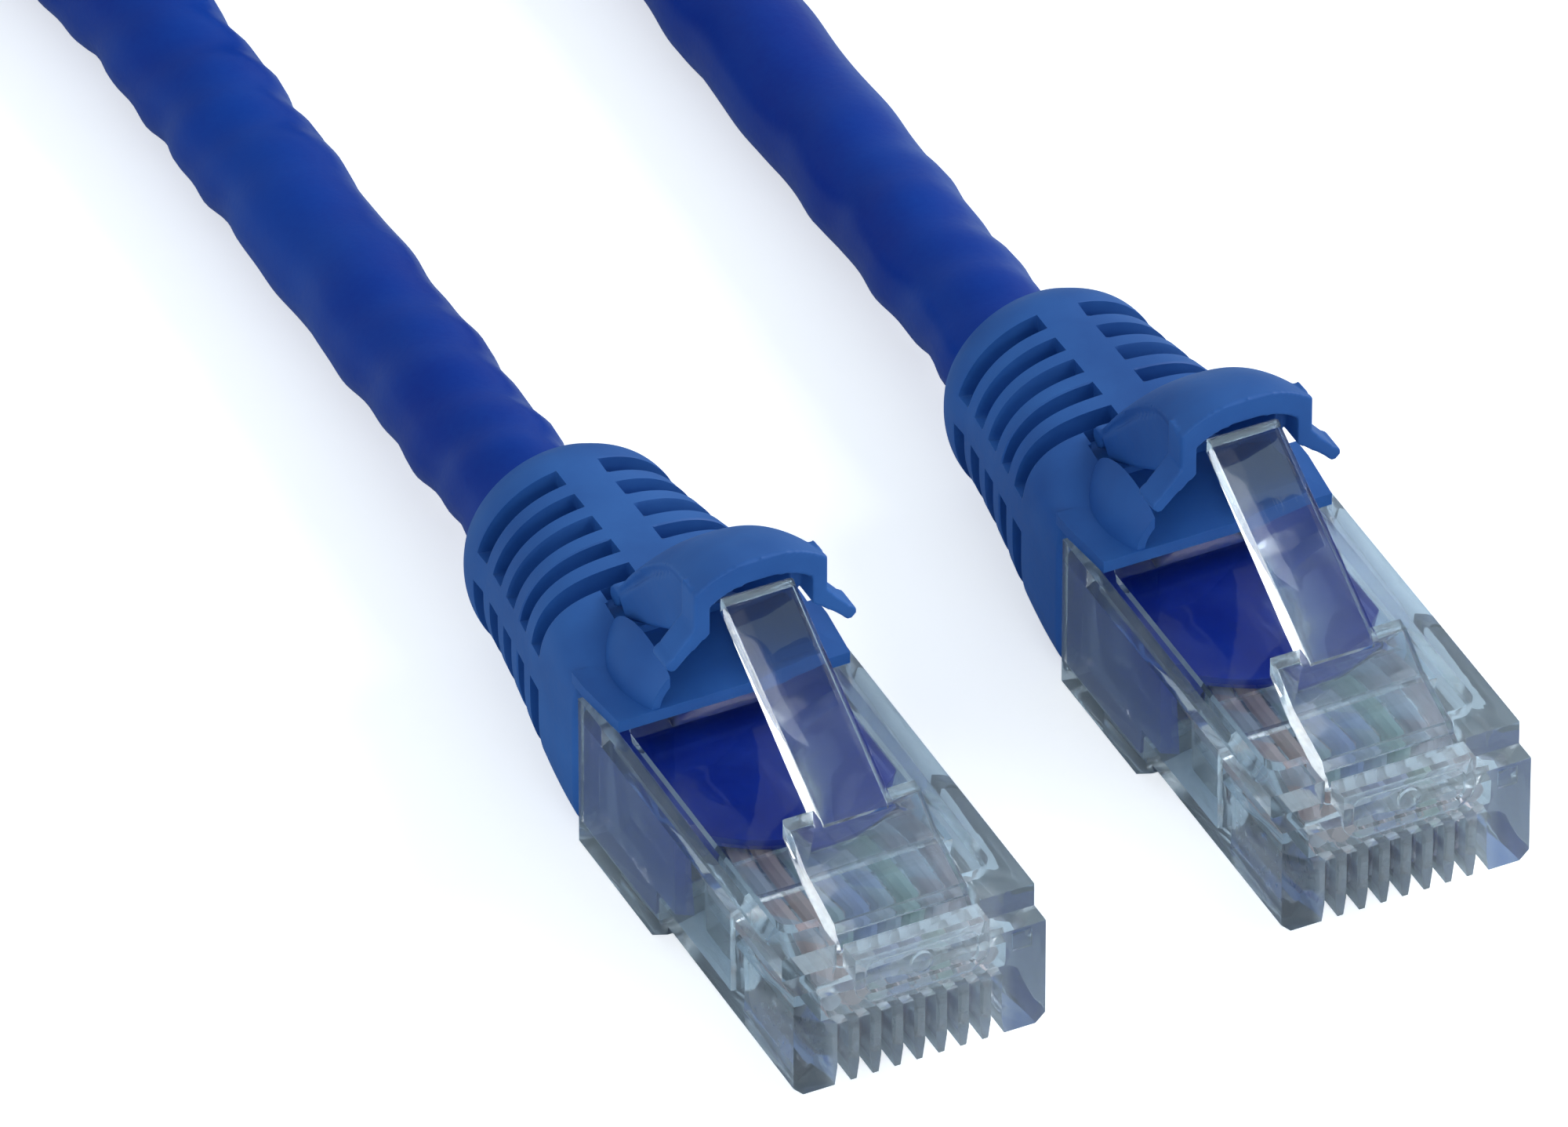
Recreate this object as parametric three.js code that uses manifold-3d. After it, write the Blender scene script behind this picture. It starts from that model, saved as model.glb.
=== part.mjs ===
// Ethernet patch cable: two eight-way modular plugs with snagless boots, joined by one round cord
// that is folded into a tied hank behind them. Millimetres, +Z up, noses towards -Y, latches up.

import * as THREE from 'three';
import { mergeVertices } from 'three/addons/utils/BufferGeometryUtils.js';
import Module from 'manifold-3d';

const wasm = await Module();
wasm.setup();

// Placing of the two plugs. Plug b lies to the right of plug a and a little further back.
const PLUG_SPACING = 23.1;
const PLUG_STAGGER = 0.8;

// Contacts and the wires that they pierce. Their depths are counted from the nose's front face,
// their heights from its underside, and the wires' own depth down from its top.
const WAYS = 8;
const PITCH = 1.016;
const CONTACT_THICKNESS = 0.36;
const CONTACT_SIDE_GAP = 0.07;
const CONTACT_FRONT = 1.3;
const CONTACT_LENGTH = 4.65;
const CONTACT_BOTTOM = 0.35;
const CONTACT_WIRE_GAP = 0.2;
const CONTACT_ROUND = 0.5;
const CONTACT_POINT = { length: 0.8, height: 0.4 };
const SLOT_MOUTH = 0.74;
const SLOT_MOUTH_HEIGHT = 0.9;
const WIRE_DIAMETER = 0.9;
const WIRE_DEPTH = 2.8;
const WIRE_FRONT = 1.3;
const WIRE_GAP = 0.15;
const BUNDLE_PITCH = 1.1;
const WIRE_SIDES = 8;
const WIRE_STEPS = 9;

// Plug housing.
const SIDE_MARGIN = 2.284;
const PLUG_WIDTH = (WAYS - 1) * PITCH + 2 * SIDE_MARGIN;
const NOSE_HEIGHT = 6.5;
const NOSE_STEP_HEIGHT = 5.35;
const NOSE_STEP_DEPTH = 1.1;
const HOUSING_LENGTH = 20.6;
const REAR_DROP = 1.1;
const REAR_LENGTH = 8.6;
const REAR_SLOPE = 1.5;
const RAIL_WIDTH = 0.95;
const RAIL_HEIGHT = 0.95;
const RECESS_START = 3.0;
const RECESS_BRIDGE = 2.4;
const ROOF_WALL = 0.7;
const SIDE_WALL = 0.95;
const FLOOR_WALL = 0.8;
const FOOT_CHAMFER = 0.45;
const CAVITY_START = 6.7;
const BLOCK_WIDTH = 6.2;
const BLOCK_FOOT_WIDTH = 4.7;
const BLOCK_HEIGHT = 2.45;
const BLOCK_CORNER = 0.9;
const BLOCK_PROUD = 0.25;

// Load bar, strain-relief bar and the moulded insert that fills the back of the housing.
const LOAD_BAR_LENGTH = 2.4;
const LOAD_BAR_WALL = 0.45;
const LOAD_BAR_FOOT = 1.2;
const FIT_GAP = 0.3;
const INSERT_FRONT = 12.0;
const INSERT_CROWN = 2.4;
const INSERT_TAIL = 3.6;
const INSERT_TOP_GAP = 0.1;
const RELIEF_BACK = 6.0;
const RELIEF_LENGTH = 3.2;
const RELIEF_WIDTH = 6.0;
const RELIEF_INSET = 0.25;
const RELIEF_LIP = 0.5;

// Latch: a flat spring arm that rises from a groove behind the nose block. Heights are counted
// from the top of the nose.
const LATCH_AXIS_PLACE = { y: 1.75, up: -0.55 };
const LATCH_ROOT_RADIUS = 0.5;
const LATCH_WIDTH = 6.1;
const LATCH_THICKNESS = 0.95;
const LATCH_RIDGE_PLACE = { y: 4.5, up: 1.25 };
const LATCH_CATCH_PLACE = { y: 6.75, up: 2.45 };
const LATCH_CATCH_LENGTH = 0.7;
const TAB_FRONT_PLACE = { y: 5.8, up: 2.35 };
const TAB_UNDER_HOOD = 0.6;
const TAB_HOOD_GAP = 0.6;
const TAB_WIDTH = 3.25;
const TAB_ROUND = 0.25;

// Boot. Its stations, like all depths of the boot and the hood, are counted back from the rear
// face of the housing, and their heights up from the top of the nose. Each station says how much
// wider than the plug it is, how far its underside lifts off the floor, and how square it is.
const BOOT_FORM = [
  { back: 0.3, wider: 0, lift: 0, up: 0.7, power: 7 },
  { back: 2.55, wider: -0.04, lift: 0, up: 1.55, power: 5 },
  { back: 5.6, wider: -0.56, lift: 0, up: 1.95, power: 3.4 },
  { back: 7.4, wider: -1.04, lift: 0, up: 1.95, power: 2.9 },
  { back: 10.9, wider: -1.84, lift: 0, up: 1.87, power: 2.4 },
  { back: 13.8, wider: -2.44, lift: 0, up: 1.65, power: 2.1 },
  { back: 14.4, wider: -3.08, lift: 0.3, up: 1.3, power: 2 },
];
const BOOT_FLAP_LENGTH = 3.0;
const BOOT_FLAP_INSET = 0.44;
const BOOT_FLAP_GAP = 0.2;
const BOOT_FLAP_THICKNESS = 0.45;
const GROOVE_COUNT = 5;
const GROOVE_FIRST = 4.7;
const GROOVE_PITCH = 1.77;
const GROOVE_WIDTH = 0.8;
const GROOVE_DEPTH = 0.95;
const UPPER_GROOVE_ANGLES = [20, 78];
const LOWER_GROOVE_ANGLES = [-38, 2];

// Cheeks either side of the latch, and the hood that guards its tip.
const CHEEK = { back: -0.6, up: 0.5, inset: 1.44, length: 4.6, height: 3.1, wall: 0.75 };
const CROWN_SLOT_WIDTH = 5.9;
const CHANNEL_END = 2.0;
const HOOD_AXIS_PLACE = { back: 3.4, up: 1.9 };
const HOOD_ROOT_RADIUS = 0.5;
const HOOD_THICKNESS = 1.15;
const HOOD_FORM = [
  { back: -5.6, up: 9.4, half: 3.1, drop: 1.0 },
  { back: -4.0, up: 9.15, half: 2.9, drop: 1.0 },
  { back: -2.2, up: 8.4, half: 2.65, drop: 0.9 },
  { back: -0.4, up: 7.1, half: 2.55, drop: 0.8 },
  { back: 1.6, up: 5.0, half: 2.5, drop: 0.6 },
  { back: 3.4, up: 2.5, half: 2.5, drop: 0.3 },
];
const HOOD_ROUNDNESS = 2.4;
const HOOD_RIM_LENGTH = 1.3;
const SKIRT_DROP = 1.9;
const SKIRT_WALL = 0.7;
const WING = { out: 1.2, down: 3.2, edge: 0.35 };

// Cord.
const CORD_DIAMETER = 5.6;
const CORD_BORE_GAP = 0.3;
const CORD_SIDES = 12;
const BOOT_FLOOR = 0.7;
const CORD_HEIGHT = CORD_DIAMETER / 2 + CORD_BORE_GAP + BOOT_FLOOR - REAR_DROP;
const JACKET_INSIDE = 1.3;
const JACKET_START = HOUSING_LENGTH - JACKET_INSIDE;
const LEAD_STEPS = 10;

// Hank: a racetrack of two turns beside and two on top of each other, resting on its two ties.
const HANK_CENTRE_X = PLUG_SPACING / 2;
const HANK_NEAR_Y = 110;
const HANK_STRAIGHT = 55;
const HANK_MIDDLE_RADIUS = 17;
const HANK_LAYERS = 2;
const TIE_WIDTH = 10;
const TIE_THICKNESS = 0.6;
const TIE_GAP = 0.2;

// Routes of the two leads from inside the boots to the hank, chosen by hand. They are x, y and z
// counted from the middle of their own plug's nose, at its underside. Each ends by the hank.
const LEAD_A_ROUTE = [
  [0, JACKET_START, CORD_HEIGHT], [0, 27, CORD_HEIGHT], [0, 35, CORD_HEIGHT], [0.1, 42, 2.55],
  [0.25, 50, 2.2], [0.4, 58, 1.9], [0.5, 66, 1.75], [0.5, 74, 1.75], [0.2, 81, 1.77], [-0.9, 88, 1.85],
];
const LEAD_B_ROUTE = [
  [0, JACKET_START, CORD_HEIGHT], [0, 27, CORD_HEIGHT], [0, 35, CORD_HEIGHT], [0.1, 42, 2.55],
  [0.25, 50, 2.2], [0.4, 58, 1.9], [0.5, 65, 1.78], [0.7, 71, 1.88], [1.2, 77, 2.5],
  [2.1, 82.6, 3.8], [3.1, 87.2, 5.1],
];

// Longer than any piece, for cuts that run right through; and the overlap of what is joined or cut.
const FAR = 40;
const OVERLAP = 0.1;

const COLOURS = {
  clear: 0xc9d2da,
  gold: 0xd9b45a,
  blue: 0x24559a,
  darkBlue: 0x0a2a78,
  tie: 0x1c1c1f,
};
const WIRE_COLOURS = [0xe8a060, 0xe07818, 0xbcd8b4, 0x2f5fb8, 0xa8b8d8, 0x2f8a4a, 0xc9b0a0, 0x6a4030];

function material(colour, roughness, metalness = 0) {
  return new THREE.MeshStandardMaterial({ color: colour, roughness, metalness });
}

function clearPlastic() {
  const plastic = material(COLOURS.clear, 0.12);
  plastic.transparent = true;
  plastic.opacity = 0.35;
  return plastic;
}

// Solids for joining and cutting.
function solidOf(geometry) {
  const bare = geometry.clone();
  bare.deleteAttribute('normal');
  bare.deleteAttribute('uv');
  const merged = mergeVertices(bare, 1e-5);
  const mesh = new wasm.Mesh({
    numProp: 3,
    vertProperties: new Float32Array(merged.attributes.position.array),
    triVerts: new Uint32Array(merged.index.array),
  });
  mesh.merge();
  return new wasm.Manifold(mesh);
}

function geometryOf(solid) {
  const mesh = solid.getMesh();
  const geometry = new THREE.BufferGeometry();
  geometry.setAttribute('position', new THREE.BufferAttribute(mesh.vertProperties, 3));
  geometry.setIndex(new THREE.BufferAttribute(mesh.triVerts, 1));
  geometry.computeVertexNormals();
  return geometry;
}

function carve(base, additions, cuts) {
  let solid = solidOf(base);
  for (const addition of additions) {
    solid = solid.add(solidOf(addition));
  }
  for (const cut of cuts) {
    solid = solid.subtract(solidOf(cut));
  }
  return geometryOf(solid);
}

// A box between two corners.
function boxBetween(low, high) {
  const size = high.map((value, axis) => value - low[axis]);
  const centre = high.map((value, axis) => (value + low[axis]) / 2);
  return new THREE.BoxGeometry(...size).translate(...centre);
}

// An outline of (y, z) points extruded along X and centred on the plug's middle plane.
function alongX(points, width) {
  const outline = new THREE.Shape(points.map(([y, z]) => new THREE.Vector2(y, z)));
  const geometry = new THREE.ExtrudeGeometry(outline, { depth: width, bevelEnabled: false });
  const turn = new THREE.Matrix4().makeBasis(
    new THREE.Vector3(0, 1, 0),
    new THREE.Vector3(0, 0, 1),
    new THREE.Vector3(1, 0, 0),
  );
  return geometry.applyMatrix4(turn).translate(-width / 2, 0, 0);
}

// An outline of (x, z) points extruded along Y from one depth to another.
function alongY(points, from, to) {
  const outline = new THREE.Shape(points.map(([x, z]) => new THREE.Vector2(x, z)));
  const geometry = new THREE.ExtrudeGeometry(outline, { depth: to - from, bevelEnabled: false });
  return geometry.rotateX(Math.PI / 2).translate(0, to, 0);
}

// The same outline on the other side of the plug.
function mirrored(points) {
  return points.map(([x, z]) => [-x, z]).reverse();
}

function barAlongX(axis, radius, width) {
  const bar = new THREE.CylinderGeometry(radius, radius, width, 16).rotateZ(Math.PI / 2);
  return bar.translate(0, axis.y, axis.z);
}

function holeAlongY(radius, from, to, z) {
  return new THREE.CylinderGeometry(radius, radius, to - from, 32).translate(0, (from + to) / 2, z);
}

function wayX(way) {
  return (way - (WAYS - 1) / 2) * PITCH;
}

const halfWidth = PLUG_WIDTH / 2;
const cavityHalf = halfWidth - SIDE_WALL;
const recessFloor = NOSE_HEIGHT - RAIL_HEIGHT;
const recessEnd = HOUSING_LENGTH - RECESS_BRIDGE;
const rearStart = HOUSING_LENGTH - REAR_LENGTH;
const reliefStart = HOUSING_LENGTH - RELIEF_BACK;
const cavityTop = recessFloor - ROOF_WALL;
const cavityFloor = FLOOR_WALL - REAR_DROP;
const chamberHalf = (WAYS * PITCH) / 2 + WIRE_GAP;
const wireHeight = NOSE_HEIGHT - WIRE_DEPTH;
const chamberLow = wireHeight - WIRE_DIAMETER / 2 - WIRE_GAP;
const chamberHigh = wireHeight + WIRE_DIAMETER / 2 + WIRE_GAP;
const contactSlot = CONTACT_THICKNESS + 2 * CONTACT_SIDE_GAP;
const contactRear = CONTACT_FRONT + CONTACT_LENGTH;
const contactTop = wireHeight - WIRE_DIAMETER / 2 - CONTACT_WIRE_GAP;
const bore = CORD_DIAMETER / 2 + CORD_BORE_GAP;

// Places that are counted from the nose's top or from the housing's rear face, in the plug's frame.
const latchAxis = onNose(LATCH_AXIS_PLACE);
const latchRidge = onNose(LATCH_RIDGE_PLACE);
const latchCatch = onNose(LATCH_CATCH_PLACE);
const tabFront = onNose(TAB_FRONT_PLACE);
const hoodAxis = behind(HOOD_AXIS_PLACE);
const hoodStations = HOOD_FORM.map((form) => ({ ...form, ...behind(form) }));
const hoodRim = hoodStations[0];
const hoodRoot = hoodStations[hoodStations.length - 1];
const tabEnd = { y: hoodRim.y + TAB_UNDER_HOOD, z: hoodRim.z - HOOD_THICKNESS - TAB_HOOD_GAP };
const bootStations = BOOT_FORM.map((form) => ({
  y: HOUSING_LENGTH + form.back,
  half: (PLUG_WIDTH + form.wider) / 2,
  low: form.lift - REAR_DROP,
  high: NOSE_HEIGHT + form.up,
  power: form.power,
}));
const bootFront = bootStations[0].y;
const bootRear = bootStations[bootStations.length - 1].y;

function onNose(place) {
  return { y: place.y, z: NOSE_HEIGHT + place.up };
}

function behind(place) {
  return { y: HOUSING_LENGTH + place.back, z: NOSE_HEIGHT + place.up };
}

// Housing: clear polycarbonate, with a comb of slots for the contacts and a hollow back.
function housing() {
  const block = alongX([
    [0, 0],
    [rearStart, 0],
    [rearStart + REAR_SLOPE, -REAR_DROP],
    [HOUSING_LENGTH, -REAR_DROP],
    [HOUSING_LENGTH, NOSE_HEIGHT],
    [NOSE_STEP_DEPTH, NOSE_HEIGHT],
    [NOSE_STEP_DEPTH, NOSE_STEP_HEIGHT],
    [0, NOSE_STEP_HEIGHT],
  ], PLUG_WIDTH);
  const blockLow = NOSE_HEIGHT - BLOCK_HEIGHT;
  const noseBlock = alongY([
    [-BLOCK_WIDTH / 2, NOSE_HEIGHT],
    [-BLOCK_WIDTH / 2, blockLow + BLOCK_CORNER],
    [-BLOCK_FOOT_WIDTH / 2, blockLow],
    [BLOCK_FOOT_WIDTH / 2, blockLow],
    [BLOCK_WIDTH / 2, blockLow + BLOCK_CORNER],
    [BLOCK_WIDTH / 2, NOSE_HEIGHT],
  ], -BLOCK_PROUD, NOSE_STEP_DEPTH + OVERLAP);
  const recessHalf = halfWidth - RAIL_WIDTH;
  const grooveHalf = LATCH_WIDTH / 2 + FIT_GAP;
  const grooveReach = LATCH_ROOT_RADIUS + FIT_GAP;
  const grooveFront = latchAxis.y - grooveReach;
  const grooveFloor = latchAxis.z - grooveReach;
  const reliefHalf = RELIEF_WIDTH / 2 + FIT_GAP;
  const reliefFront = reliefStart - FIT_GAP;
  const reliefRear = reliefStart + RELIEF_LENGTH + FIT_GAP;
  const bridgeRoof = NOSE_HEIGHT - ROOF_WALL;
  const bridgeFront = recessEnd + ROOF_WALL;
  const chamberFront = WIRE_FRONT - FIT_GAP;
  const chamberRear = CAVITY_START + OVERLAP;
  const cuts = [
    boxBetween([-recessHalf, RECESS_START, recessFloor], [recessHalf, recessEnd, FAR]),
    boxBetween([-grooveHalf, grooveFront, grooveFloor], [grooveHalf, RECESS_START + OVERLAP, FAR]),
    boxBetween([-chamberHalf, chamberFront, chamberLow], [chamberHalf, chamberRear, chamberHigh]),
    boxBetween([-cavityHalf, CAVITY_START, FLOOR_WALL], [cavityHalf, FAR, cavityTop]),
    boxBetween([-cavityHalf, rearStart + REAR_SLOPE, cavityFloor], [cavityHalf, FAR, cavityTop]),
    boxBetween([-cavityHalf, bridgeFront, cavityFloor], [cavityHalf, FAR, bridgeRoof]),
    holeAlongY((CORD_DIAMETER + CORD_BORE_GAP) / 2, bridgeFront, FAR, CORD_HEIGHT),
    boxBetween([-reliefHalf, reliefFront, -FAR], [reliefHalf, reliefRear, cavityFloor + OVERLAP]),
  ];
  const corner = [
    [halfWidth - FOOT_CHAMFER, 0],
    [halfWidth - FOOT_CHAMFER, -FAR],
    [halfWidth + FAR, -FAR],
    [halfWidth + FAR, FAR + FOOT_CHAMFER],
    [halfWidth, FOOT_CHAMFER],
  ];
  cuts.push(alongY(corner, -FAR, rearStart));
  cuts.push(alongY(mirrored(corner), -FAR, rearStart));
  for (let way = 0; way < WAYS; way += 1) {
    const x = wayX(way);
    cuts.push(alongY([
      [x - SLOT_MOUTH / 2, -FAR],
      [x + SLOT_MOUTH / 2, -FAR],
      [x + SLOT_MOUTH / 2, 0],
      [x + contactSlot / 2, SLOT_MOUTH_HEIGHT],
      [x + contactSlot / 2, chamberLow + OVERLAP],
      [x - contactSlot / 2, chamberLow + OVERLAP],
      [x - contactSlot / 2, SLOT_MOUTH_HEIGHT],
      [x - SLOT_MOUTH / 2, 0],
    ], -FAR, contactRear + FIT_GAP));
  }
  return carve(block, [noseBlock], cuts);
}

// Contact: a gold-plated blade with a rounded front edge and two points that pierce the wire above.
function contact(way) {
  const low = CONTACT_BOTTOM;
  const high = contactTop - CONTACT_POINT.height;
  const front = CONTACT_FRONT;
  const rear = contactRear;
  const { length, height } = CONTACT_POINT;
  const blade = alongX([
    [front + CONTACT_ROUND, low],
    [rear - CONTACT_ROUND, low],
    [rear, low + CONTACT_ROUND],
    [rear, high],
    [rear - length, high + height],
    [rear - 2 * length, high],
    [front + 3 * length, high],
    [front + 2 * length, high + height],
    [front + length, high],
    [front, high - CONTACT_ROUND],
    [front, low + CONTACT_ROUND],
    [front + 0.3 * CONTACT_ROUND, low + 0.3 * CONTACT_ROUND],
  ], CONTACT_THICKNESS);
  return blade.translate(wayX(way), 0, 0);
}

// Wire: straight over its contact, then drawn into its twisted pair at the end of the jacket.
function wire(way) {
  const pair = Math.floor(way / 2);
  const side = way % 2 === 0 ? -1 : 1;
  const pairX = wayX(pair * 2) + PITCH / 2;
  const bundleX = (pair - (WAYS / 2 - 1) / 2) * BUNDLE_PITCH;
  const straightEnd = CAVITY_START + LOAD_BAR_LENGTH + 2 * FIT_GAP;
  const end = JACKET_START - FIT_GAP;
  const points = [new THREE.Vector3(wayX(way), WIRE_FRONT, wireHeight)];
  points.push(new THREE.Vector3(wayX(way), straightEnd / 2, wireHeight));
  const steps = 4;
  for (let step = 0; step <= steps; step += 1) {
    const share = step / steps;
    const twist = (share * Math.PI) / 2;
    const centre = THREE.MathUtils.lerp(pairX, bundleX, share);
    const height = THREE.MathUtils.lerp(wireHeight, CORD_HEIGHT, share);
    points.push(new THREE.Vector3(
      centre + (side * Math.cos(twist) * PITCH) / 2,
      THREE.MathUtils.lerp(straightEnd, end, share),
      height + (side * Math.sin(twist) * PITCH) / 2,
    ));
  }
  return tube(points, WIRE_DIAMETER, WIRE_SIDES, WIRE_STEPS);
}

// A round tube along a smooth curve through the points.
function tube(points, diameter, sides, steps) {
  const radius = diameter / 2;
  const ring = [];
  for (let side = 0; side < sides; side += 1) {
    const angle = (side / sides) * Math.PI * 2;
    ring.push(new THREE.Vector2(Math.cos(angle) * radius, Math.sin(angle) * radius));
  }
  const path = new THREE.CatmullRomCurve3(points, false, 'centripetal');
  const options = { steps, extrudePath: path, bevelEnabled: false };
  return new THREE.ExtrudeGeometry(new THREE.Shape(ring), options);
}

// Load bar: a frame that keeps the eight wires in line behind the contacts.
function loadBar() {
  const from = CAVITY_START + FIT_GAP;
  const to = from + LOAD_BAR_LENGTH;
  const outerHalf = chamberHalf + LOAD_BAR_WALL;
  const low = chamberLow - LOAD_BAR_FOOT;
  const outer = boxBetween([-outerHalf, from, low], [outerHalf, to, chamberHigh + LOAD_BAR_WALL]);
  const window = boxBetween([-chamberHalf, 0, chamberLow], [chamberHalf, FAR, chamberHigh]);
  return carve(outer, [], [window]);
}

// Strain-relief bar: pressed up through the underside of the housing against the insert.
function reliefBar() {
  const rear = reliefStart + RELIEF_LENGTH;
  return alongX([
    [reliefStart, RELIEF_INSET - REAR_DROP],
    [rear - RELIEF_LIP, RELIEF_INSET / 2 - REAR_DROP],
    [rear, RELIEF_INSET - REAR_DROP],
    [rear, cavityFloor],
    [reliefStart, cavityFloor],
  ], RELIEF_WIDTH);
}

// Insert: the soft blue moulding that grips the jacket inside the housing. Its front is bowed.
function insert() {
  const half = cavityHalf - FIT_GAP;
  const low = cavityFloor + FIT_GAP;
  const high = cavityTop - INSERT_TOP_GAP;
  const rear = HOUSING_LENGTH + INSERT_TAIL;
  const outline = new THREE.Shape();
  outline.moveTo(-half, INSERT_FRONT);
  outline.quadraticCurveTo(0, INSERT_FRONT - 2 * INSERT_CROWN, half, INSERT_FRONT);
  outline.lineTo(half, rear);
  outline.lineTo(-half, rear);
  const options = { depth: high - low, bevelEnabled: false, curveSegments: 12 };
  const body = new THREE.ExtrudeGeometry(outline, options);
  body.translate(0, 0, low);
  const stepRear = rearStart + REAR_SLOPE + FIT_GAP;
  const tunnelFloor = FLOOR_WALL - OVERLAP * 2;
  const cuts = [
    boxBetween([-FAR, 0, -FAR], [FAR, stepRear, FLOOR_WALL + FIT_GAP]),
    boxBetween([-chamberHalf, 0, tunnelFloor], [chamberHalf, JACKET_START, chamberHigh + OVERLAP / 2]),
    holeAlongY(bore, JACKET_START - FIT_GAP, FAR, CORD_HEIGHT),
  ];
  return carve(body, [], cuts);
}

// Latch: a wide spring root with two catch shoulders, and a narrow tab that rises to the hood.
function latch() {
  const t = LATCH_THICKNESS;
  const wide = alongX([
    [latchAxis.y - 0.3 * t, latchAxis.z],
    [latchAxis.y + 0.4 * t, latchAxis.z - 0.3 * t],
    [latchRidge.y + 0.4 * t, latchRidge.z - t],
    [latchCatch.y, latchCatch.z - t],
    [latchCatch.y, latchCatch.z],
    [latchCatch.y - LATCH_CATCH_LENGTH, latchCatch.z - 0.1 * t],
    [latchRidge.y, latchRidge.z],
    [latchAxis.y + 0.1 * t, latchAxis.z + t],
  ], LATCH_WIDTH);
  const root = barAlongX(latchAxis, LATCH_ROOT_RADIUS, LATCH_WIDTH);
  const slope = (tabEnd.z - tabFront.z) / (tabEnd.y - tabFront.y);
  const tab = alongX([
    [tabFront.y, tabFront.z],
    [tabFront.y, tabFront.z - t],
    [tabFront.y + t, tabFront.z - t],
    [tabEnd.y, tabEnd.z - t],
    [tabEnd.y, tabEnd.z - TAB_ROUND],
    [tabEnd.y - TAB_ROUND, tabEnd.z - TAB_ROUND * slope],
  ], TAB_WIDTH);
  return carve(wide, [root, tab], []);
}

// The size of the boot's section at a depth, taken from its stations.
function bootSection(y) {
  const index = bootStations.findIndex((station) => station.y >= y);
  const before = bootStations[index - 1];
  const after = bootStations[index];
  const share = (y - before.y) / (after.y - before.y);
  const mix = (key) => THREE.MathUtils.lerp(before[key], after[key], share);
  return { half: mix('half'), low: mix('low'), high: mix('high'), power: mix('power') };
}

// A point on the boot's section at an angle from +X, moved outwards by an offset.
function bootPoint(section, angle, offset) {
  const rise = (section.high - section.low) / 2;
  const middle = (section.high + section.low) / 2;
  const across = Math.abs(Math.cos(angle) / section.half) ** section.power;
  const upward = Math.abs(Math.sin(angle) / rise) ** section.power;
  const radius = (across + upward) ** (-1 / section.power) + offset;
  return [Math.cos(angle) * radius, middle + Math.sin(angle) * radius];
}

// The boot's outer form: a cylinder whose rings are moved onto the stations.
function bootBody() {
  const rings = bootStations.length - 1;
  const geometry = new THREE.CylinderGeometry(1, 1, rings, 40, rings);
  const position = geometry.attributes.position;
  for (let index = 0; index < position.count; index += 1) {
    const x = position.getX(index);
    const z = position.getZ(index);
    const station = bootStations[Math.round(position.getY(index) + rings / 2)];
    const onAxis = Math.hypot(x, z) < 0.5;
    const middle = (station.high + station.low) / 2;
    const place = onAxis ? [0, middle] : bootPoint(station, Math.atan2(z, x), 0);
    position.setXYZ(index, place[0], station.y, place[1]);
  }
  return geometry;
}

// One flexing groove: a bent slot that follows the boot's section between two angles.
function groove(y, angles, side) {
  const section = bootSection(y);
  const outer = [];
  const inner = [];
  const steps = 8;
  for (let step = 0; step <= steps; step += 1) {
    const angle = THREE.MathUtils.degToRad(THREE.MathUtils.lerp(angles[0], angles[1], step / steps));
    outer.push(bootPoint(section, angle, 1.2));
    inner.push(bootPoint(section, angle, -GROOVE_DEPTH));
  }
  const outline = [...outer, ...inner.reverse()];
  return alongY(side < 0 ? mirrored(outline) : outline, y - GROOVE_WIDTH / 2, y + GROOVE_WIDTH / 2);
}

// Cheeks: a hollow dome on the flap and the crown, from which the latch's channel is cut.
function cheeks(flapLow, flapHigh) {
  const half = halfWidth - CHEEK.inset;
  const y = HOUSING_LENGTH + CHEEK.back;
  const z = NOSE_HEIGHT + CHEEK.up;
  const dome = new THREE.SphereGeometry(1, 32, 16).rotateX(Math.PI / 2);
  dome.scale(half, CHEEK.length, CHEEK.height).translate(0, y, z);
  const hollow = new THREE.SphereGeometry(1, 32, 16).rotateX(Math.PI / 2);
  hollow.scale(half - CHEEK.wall, CHEEK.length, CHEEK.height - CHEEK.wall);
  hollow.translate(0, y - CHEEK.wall, z);
  const inside = solidOf(hollow).intersect(solidOf(boxBetween([-FAR, 0, flapHigh], [FAR, FAR, FAR])));
  const belowFlap = boxBetween([-FAR, 0, -FAR], [FAR, bootFront + FIT_GAP, flapLow + OVERLAP]);
  const aheadOfFlap = boxBetween([-FAR, 0, -FAR], [FAR, HOUSING_LENGTH - BOOT_FLAP_LENGTH + OVERLAP, FAR]);
  const shell = solidOf(dome).subtract(inside);
  return geometryOf(shell.subtract(solidOf(belowFlap)).subtract(solidOf(aheadOfFlap)));
}

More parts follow.
